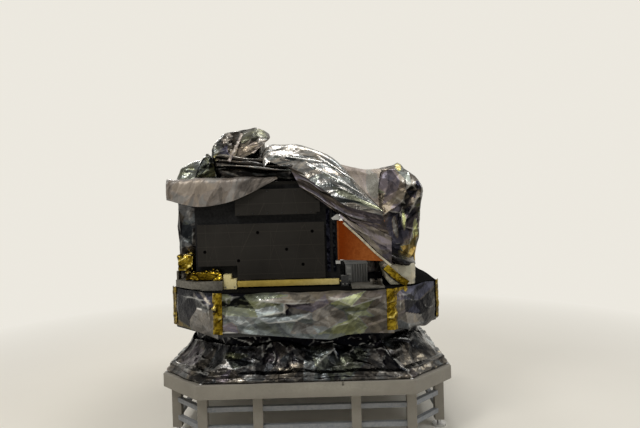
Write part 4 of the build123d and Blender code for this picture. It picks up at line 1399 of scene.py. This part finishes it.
PEAK_LEVELS = [
    # height, x from, x to, y from, y to
    (1.698, -0.634, -0.242, -0.634, -0.156),
    (1.800, -0.636, -0.255, -0.620, -0.190),
    (1.900, -0.618, -0.275, -0.575, -0.250),
    (1.970, -0.590, -0.285, -0.530, -0.300),
    (2.012, -0.560, -0.292, -0.490, -0.340),
    (2.040, -0.480, -0.305, -0.465, -0.370),
    (2.056, -0.400, -0.330, -0.445, -0.400),
    (2.060, -0.375, -0.365, -0.424, -0.416),
]
PEAK_MARKS = [
    # pixels across and down, relief in millimetres, tone change in hundredths (partly painted reflection),
    # hue
    (207, 150, 0, 0, BLUE), (212, 140, 0, 10, BLUE), (217, 133, 0, 10, BLUE), (226, 130.5, 0, 5, PLAIN),
    (236, 128.5, 0, -5, PLAIN), (252, 124, 0, -15, SAGE), (216, 146, 14, 24, BLUE), (220, 140, 4, 5, BLUE),
    (225, 137, 14, 20, PLAIN), (231, 135.5, 2, -10, PLAIN), (238, 134, 12, 5, PLAIN),
    (246, 133, 0, -20, SAGE), (213, 158, 0, -10, LIME), (219, 153, 12, 20, BLUE), (223, 147, 4, 0, NAVY),
    (227, 144, 14, 16, PLAIN), (231, 142, 0, -34, BEIGE), (237, 141, 10, -24, BEIGE),
    (208, 168, 0, -34, PLAIN), (217, 163, 6, -30, LIME), (224, 159, 12, 5, NAVY), (228, 152, 4, -30, NAVY),
    (233, 148, 10, -16, BEIGE), (248, 146, 0, -30, PLAIN), (212, 182, 0, -34, PLAIN),
    (228, 176, 8, -24, BEIGE), (240, 168, 0, -30, PLAIN), (272, 182, 0, -30, PLAIN),
    (272, 150, 0, -24, PLAIN), (268, 132, 0, -10, BEIGE),
]
PEAK_FRONT = -0.58
HOOD_FRONT = PEAK_FRONT - 0.07
HOOD_SHEET = [
    # pixels across and down, y: a stiff sheet that leans on the front of the peak
    [(243.5, 132.0, -0.480), (250, 129.0, -0.478), (256, 127.5, -0.478), (262, 130.0, -0.478),
     (268.5, 134.0, -0.475)],
    [(240.5, 139.0, -0.565), (247, 137.0, -0.570), (254, 136.0, -0.570), (261, 136.5, -0.565),
     (269.5, 138.5, -0.530)],
    [(236.5, 147.0, -0.615), (243, 146.0, -0.620), (250, 144.5, -0.620), (257, 143.5, -0.610),
     (264.5, 143.5, -0.580)],
    [(232, 155.5, -0.655), (239, 154.5, -0.660), (246, 153.0, -0.660), (252, 151.5, -0.650),
     (258, 149.5, -0.625)],
    [(229, 161.5, -0.695), (236, 160.5, -0.700), (242, 158.5, -0.700), (248, 156.0, -0.690),
     (255, 153.0, -0.665)],
]
HOOD_MARKS = [
    # pixels across and down, relief in millimetres, tone change in hundredths (partly painted reflection),
    # hue
    (240, 129, 0, -10, SAGE), (252, 125, 0, -5, SAGE), (262, 127, 4, -5, SAGE), (273, 132, 0, 0, BEIGE),
    (236, 142, 0, -10, SAGE), (242, 140, 8, -12, SAGE), (250, 138.5, 12, -10, SAGE),
    (258, 136, 8, -12, SAGE), (266, 138, 10, 30, PLAIN), (243, 142.5, 0, -36, NAVY),
    (254, 140.5, 0, -36, NAVY), (273, 141, 0, 5, BEIGE), (240, 147.5, 8, 10, BEIGE),
    (247, 147, 14, 20, BEIGE), (257, 143.5, 12, 26, PLAIN), (266, 145, 0, 5, BEIGE),
    (236, 155.5, 12, 14, BEIGE), (244, 153.5, 4, 5, BEIGE), (251, 151, 12, 16, BEIGE),
    (261, 150, 0, 5, BEIGE), (226, 163, 0, 10, BEIGE), (239, 161.5, 8, 20, BEIGE), (249, 158, 4, 10, BEIGE),
    (258, 155, 0, 5, BEIGE), (236, 170, 0, 5, BEIGE), (262, 160, 0, 5, BEIGE),
]
STRAP_LINE = [
    # pixels across and down, y
    (242.0, 133.5, -0.515), (238.5, 142.0, -0.608), (233.5, 152.0, -0.700), (229.0, 161.5, -0.748),
]
CRUMPLE_LEVELS = [
    # height, x from, x to, y from, y to: the pale crumple at the left end
    (1.700, -0.850, -0.650, -0.696, -0.354),
    (1.775, -0.826, -0.656, -0.676, -0.374),
    (1.822, -0.760, -0.672, -0.610, -0.450),
    (1.834, -0.712, -0.704, -0.530, -0.520),
]
SHADE_LEVELS = [
    # the same for the dark film between the peak and the pale crumple
    (1.700, -0.715, -0.560, -0.722, -0.560),
    (1.780, -0.690, -0.566, -0.706, -0.560),
    (1.845, -0.655, -0.585, -0.680, -0.570),
    (1.872, -0.640, -0.630, -0.640, -0.620),
]


PLEAT_POINTS = 240
PLEATS, PLEAT_DEPTH, PLEAT_TWIST = 9, 0.05, 0.05
PEAK_CELL = (0.08, 0.08)


def pleated(corners, twist):
    """An outline whose sides are gathered into pleats that meet further up."""
    points = loop(corners, PLEAT_POINTS, 0.03)
    middle = points.mean(axis=0)
    turn = np.arange(PLEAT_POINTS) / PLEAT_POINTS
    waves = 2 * abs(2 * ((turn * PLEATS + twist) % 1) - 1) - 1
    return [tuple(middle + (p - middle) * (1 + PLEAT_DEPTH * w)) for p, w in zip(points, waves)]


def make_peak():
    outlines = enumerate(boxed(PEAK_LEVELS))
    levels = [(pleated(corners, PLEAT_TWIST * index), z) for index, (corners, z) in outlines]
    points = wrap_levels(levels, 0.0, 0.006)
    facets = front_facets(PEAK_MARKS, PEAK_FRONT)
    facets += scattered_sides(points, 170, PEAK_CELL, (RIGHT, REAR, LEFT))
    add_film(
        "peak_film", points, "film_bronze", "crushed", 81, closed=True, amount=0.7, angle=70, contrast=0.8,
        tone=0.03, facets=facets, replaces=["peak_blanket"],
    )
    add_film(
        "hood_film", sheet_through(seen(HOOD_SHEET), 0.005), "film_bronze", "foil", 83, amount=0.22,
        contrast=0.8, tone=0.10, facets=front_facets(HOOD_MARKS, HOOD_FRONT),
    )
    add_film(
        "hood_strap", ribbon(seen([STRAP_LINE])[0], 0.019, FRONT, 0.004, crown=0.010), "film_taupe", "tape",
        84, amount=1.2, tone=0.20, hue=BEIGE,
    )
    add_film(
        "left_crumple_film", wrap_levels(boxed(CRUMPLE_LEVELS), 0.05, 0.006, soften=4), "film_silver",
        "creased", 85, closed=True, amount=0.9, angle=30, contrast=0.7, tone=-0.02, hue=SAGE + 0.08,
    )
    add_film(
        "shade_film", wrap_levels(boxed(SHADE_LEVELS), 0.02, 0.006), "film_dark", "crushed", 86,
        closed=True, amount=0.7, angle=50, tone=-0.10, hue=SAGE,
    )


FOLD_LAYERS = [
    # front edge: y and z at the left, y and z at the right; half thickness, tone change
    (-0.736, 1.738, -0.746, 1.706, 0.030, -0.24),
    (-0.770, 1.784, -0.768, 1.737, 0.008, 0.26),
    (-0.728, 1.816, -0.742, 1.760, 0.014, -0.08),
    (-0.706, 1.846, -0.722, 1.786, 0.014, 0.02),
]
FOLD_SPAN = (-0.575, -0.020)
FOLD_BACK = -0.640
FOLD_PINCH = 0.06
# Height and count of two waves along the front edge, one of its level and one of its thickness
FOLD_WAVES = ((0.010, 9), (0.007, 25), (0.006, 12), (0.30, 17))
LIP_DEPTH = 0.016


def make_folds():
    """One long sheet laid back and forth on itself in front of the peak."""
    left, right = FOLD_SPAN
    share = np.linspace(0, 1, int((right - left) / STEP))
    x = left + (right - left) * share
    pinch = np.clip(np.minimum(x - left, right - x) / FOLD_PINCH, 0.06, 1) ** 0.5
    draw = np.random.default_rng(92)
    rows = []
    for y0, z0, y1, z1, half, shade in FOLD_LAYERS:
        waves = [height * np.sin(count * x + draw.uniform(0, TAU)) for height, count in FOLD_WAVES]
        front = y0 + (y1 - y0) * share + waves[0] + waves[1]
        front = FOLD_BACK + (front - FOLD_BACK) * pinch
        middle = z0 + (z1 - z0) * share + waves[2]
        swell = half * (1 + waves[3]) * pinch
        back = np.full(len(x), FOLD_BACK)
        turned = front + LIP_DEPTH * pinch
        lip = [(back, -1), (turned, -1), (front, -0.4), (front, 0.4), (turned, 1), (back, 1)]
        for depth, rise in lip:
            rows.append(np.column_stack([x, depth, middle + rise * swell, np.full(len(x), shade)]))
    pieces = []
    for first, second in zip(rows, rows[1:]):
        gap = np.linalg.norm((second - first)[:, :3], axis=1).max()
        pieces.append(blend_rows([first, second], max(3, int(gap / STEP)))[:-1])
    pieces.append(rows[-1][None])
    points = np.concatenate(pieces)
    add_film(
        "folded_film", points[..., :3], "film_bronze", "draped", 91, amount=0.5, tone=points[..., 3],
        replaces=["folded_blanket_left"],
    )


def make_loose():
    points = sheet_through(TAUPE_BACK + seen(TAUPE_FRONT))
    add_film(
        "taupe_film", points, "film_taupe", "taut", 101,
        contrast=0.8 - 0.4 * np.clip((points[..., 1] + 0.72) / 0.08, 0, 1), patches=TAUPE_PATCHES,
        replaces=["taupe_blanket"],
    )
    make_peak()
    make_folds()
    points = sheet_through(HUMP_BACK + seen(HUMP_FRONT), 0.006)
    add_film(
        "hump_film", points, "film_silver", "draped", 103, angle=28, amount=0.8,
        hold=np.clip(1.15 - (points[..., 0] - 0.05) / 0.55, 0.55, 1), contrast=0.85, tone=-0.02,
        folds=HUMP_FOLDS, patches=HUMP_PATCHES,
        replaces=["hump_blanket"],
    )
    add_film(
        "under_film", sheet_through(seen(UNDER_SHEET), 0.006), "film_bronze", "draped", 105, amount=0.5,
        angle=4, tone=0.04, hue=PURPLE, hue_range=0.25,
        replaces=["flap_blanket"],
    )
    add_film(
        "border_film", sheet_through(seen(BORDER_SHEET), 0.006), "film_band", "draped", 107, amount=0.5,
        angle=3, hue=BEIGE + 0.07, hue_range=0.2,
    )
    add_film(
        "border_hem", ribbon(seen([HEM_LINE])[0], 0.014, DOOR_OUTWARD, 0.004), "film_cream", "tape", 108,
        amount=0.3,
    )
    add_film(
        "bridge_film", sheet_through(BRIDGE_BACK + seen(BRIDGE_FRONT)), "film_taupe", "creased", 109,
        amount=0.4, tone=0.26, hue=BEIGE, hue_range=0.15, patches=BRIDGE_PATCHES,
        replaces=["bridge_blanket"],
    )


# Small fastenings

STUD_PROFILE = [
    # share of the radius, share of the height, whether six-sided
    (1.0, 0.0, False), (1.0, 0.6, False), (0.85, 1.0, False),
    (0.5, 1.0, True), (0.45, 0.4, True), (0.01, 0.4, True),
]
STUD_CORNERS = 12
HEXAGON_FLAT = 0.87


def studs(name, places, outward, size, finish, body="root"):
    """Round-headed fastenings with a six-sided socket, joined in one mesh; a size is radius and height."""
    radius, height = size
    outward = Vector(outward)
    side = outward.orthogonal().normalized()
    up = outward.cross(side)
    points, faces = [], []
    for place in places:
        start = len(points)
        for reach, rise, hexagon in STUD_PROFILE:
            for index in range(STUD_CORNERS):
                turn = TAU * index / STUD_CORNERS
                spread = radius * reach * (HEXAGON_FLAT if hexagon and index % 2 else 1.0)
                point = Vector(place) + outward * height * rise
                points.append(point + spread * (math.cos(turn) * side + math.sin(turn) * up))
        for ring in range(len(STUD_PROFILE) - 1):
            for index in range(STUD_CORNERS):
                after = (index + 1) % STUD_CORNERS
                low, high = start + ring * STUD_CORNERS, start + (ring + 1) * STUD_CORNERS
                faces.append((low + index, low + after, high + after, high + index))
    mesh = bpy.data.meshes.new(name)
    mesh.from_pydata([tuple(point) for point in points], [], faces)
    piece = put_mesh(mesh, finish)
    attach(piece, body)


WING_INSERTS = [
    # x, z
    (-0.652, 1.215), (-0.431, 1.153), (-0.112, 1.220), (-0.006, 1.118), (-0.30, 1.335), (0.06, 1.335),
]
INSERT = (0.011, 0.0015)
SCREW = (0.005, 0.003)
SMALL_SCREW = (0.003, 0.003)
CONNECTOR = (0.012, 0.014)
BOLT = (0.010, 0.007)
# Half width and corner cut of the octagon of bolts on the plinth
BOLT_HALF, BOLT_CHAMFER = 0.945, 0.290
UP = (0, 0, 1)


def fasten_side(side, outward):
    """Inserts of the wing, and screws of the cover panel and the hinge blocks, at the front or rear."""
    wing_y = -bounds_of("front_wing_panel")[0][1]
    cover_y = bounds_of("rear_cover_panel")[1][1]
    body = f"{side}_wing"
    places = [(x, outward[1] * wing_y, z) for x, z in WING_INSERTS]
    studs(f"{body}_inserts", places, outward, INSERT, "deck_black", body)
    low, high = bounds_of(f"{side}_cover_panel")
    across = np.linspace(low[0] + 0.02, high[0] - 0.06, 6)
    places = [(x, outward[1] * cover_y, z) for x in across for z in (low[2] + 0.012, high[2] - 0.012)]
    studs(f"{side}_cover_screws", places, outward, SCREW, "dark_metal")
    for end in ("left", "right"):
        low, high = bounds_of(f"{side}_hinge_block_{end}")
        face = low[1] if side == "front" else high[1]
        places = [(x, face, low[2] + 0.014) for x in (low[0] + 0.012, high[0] - 0.012)]
        studs(f"{side}_hinge_screws_{end}", places, outward, SCREW, "bracket_silver")


def make_fastenings():
    fasten_side("front", FRONT)
    fasten_side("rear", REAR)
    low, high = bounds_of("ribbed_electronics_box")
    along = np.linspace(-0.64, -0.46, 4)
    places = [(x, y, DECK_TOP + 0.010) for x in (low[0] + 0.004, high[0] - 0.004) for y in along]
    studs("box_foot_screws", places, UP, SMALL_SCREW, "bracket_silver")
    low, high = bounds_of("rear_electronics_box")
    heights = (low[2] + 0.02, high[2] - 0.012)
    places = [(x, high[1], z) for x in (low[0] + 0.012, high[0] - 0.012) for z in heights]
    studs("rear_box_screws", places, REAR, SCREW, "bracket_silver")
    across = np.linspace(low[0] + 0.035, high[0] - 0.035, 3)
    places = [(x, high[1], (low[2] + high[2]) / 2) for x in across]
    studs("rear_box_connectors", places, REAR, CONNECTOR, "dark_metal")
    places = [(x, y, PLINTH_TOP) for x, y in octagon_corners(BOLT_HALF, BOLT_CHAMFER)]
    studs("plinth_bolts", places, UP, BOLT, "foot_steel")


EDGE_STRIPS = [
    # x, width, tone, hue
    (0.165, 0.022, -0.24, NAVY),
    (0.205, 0.018, -0.36, BLUE),
]


def make_edge_strips():
    """Dark film strips on the wall at the right of the wing."""
    wall = bounds_of("bay_front_wall")[0][1]
    for index, (x, width, tone, hue) in enumerate(EDGE_STRIPS):
        line = [(x, wall - 0.006, z) for z in (1.06, 1.20, 1.34, 1.48)]
        add_film(
            f"edge_strip_{index}", ribbon(line, width, FRONT), "film_dark", "tape", 140 + index, amount=0.3,
            tone=tone, hue=hue, hue_range=0.1,
        )


FLOOR_HALF = 40.0


def make_floor():
    far = FLOOR_HALF
    mesh = bpy.data.meshes.new("floor")
    mesh.from_pydata([(-far, -far, 0), (far, -far, 0), (far, far, 0), (-far, far, 0)], [], [(0, 1, 2, 3)])
    put_mesh(mesh, "floor")


bpy.context.scene.view_settings.view_transform = "Standard"
materials = make_materials()
finish_nodes()
make_camera()
make_lamps()
make_world()
make_floor()
make_band()
make_corner_tapes()
make_skirt()
make_wraps()
make_tower()
make_actuator()
make_loose()
make_fastenings()
make_edge_strips()
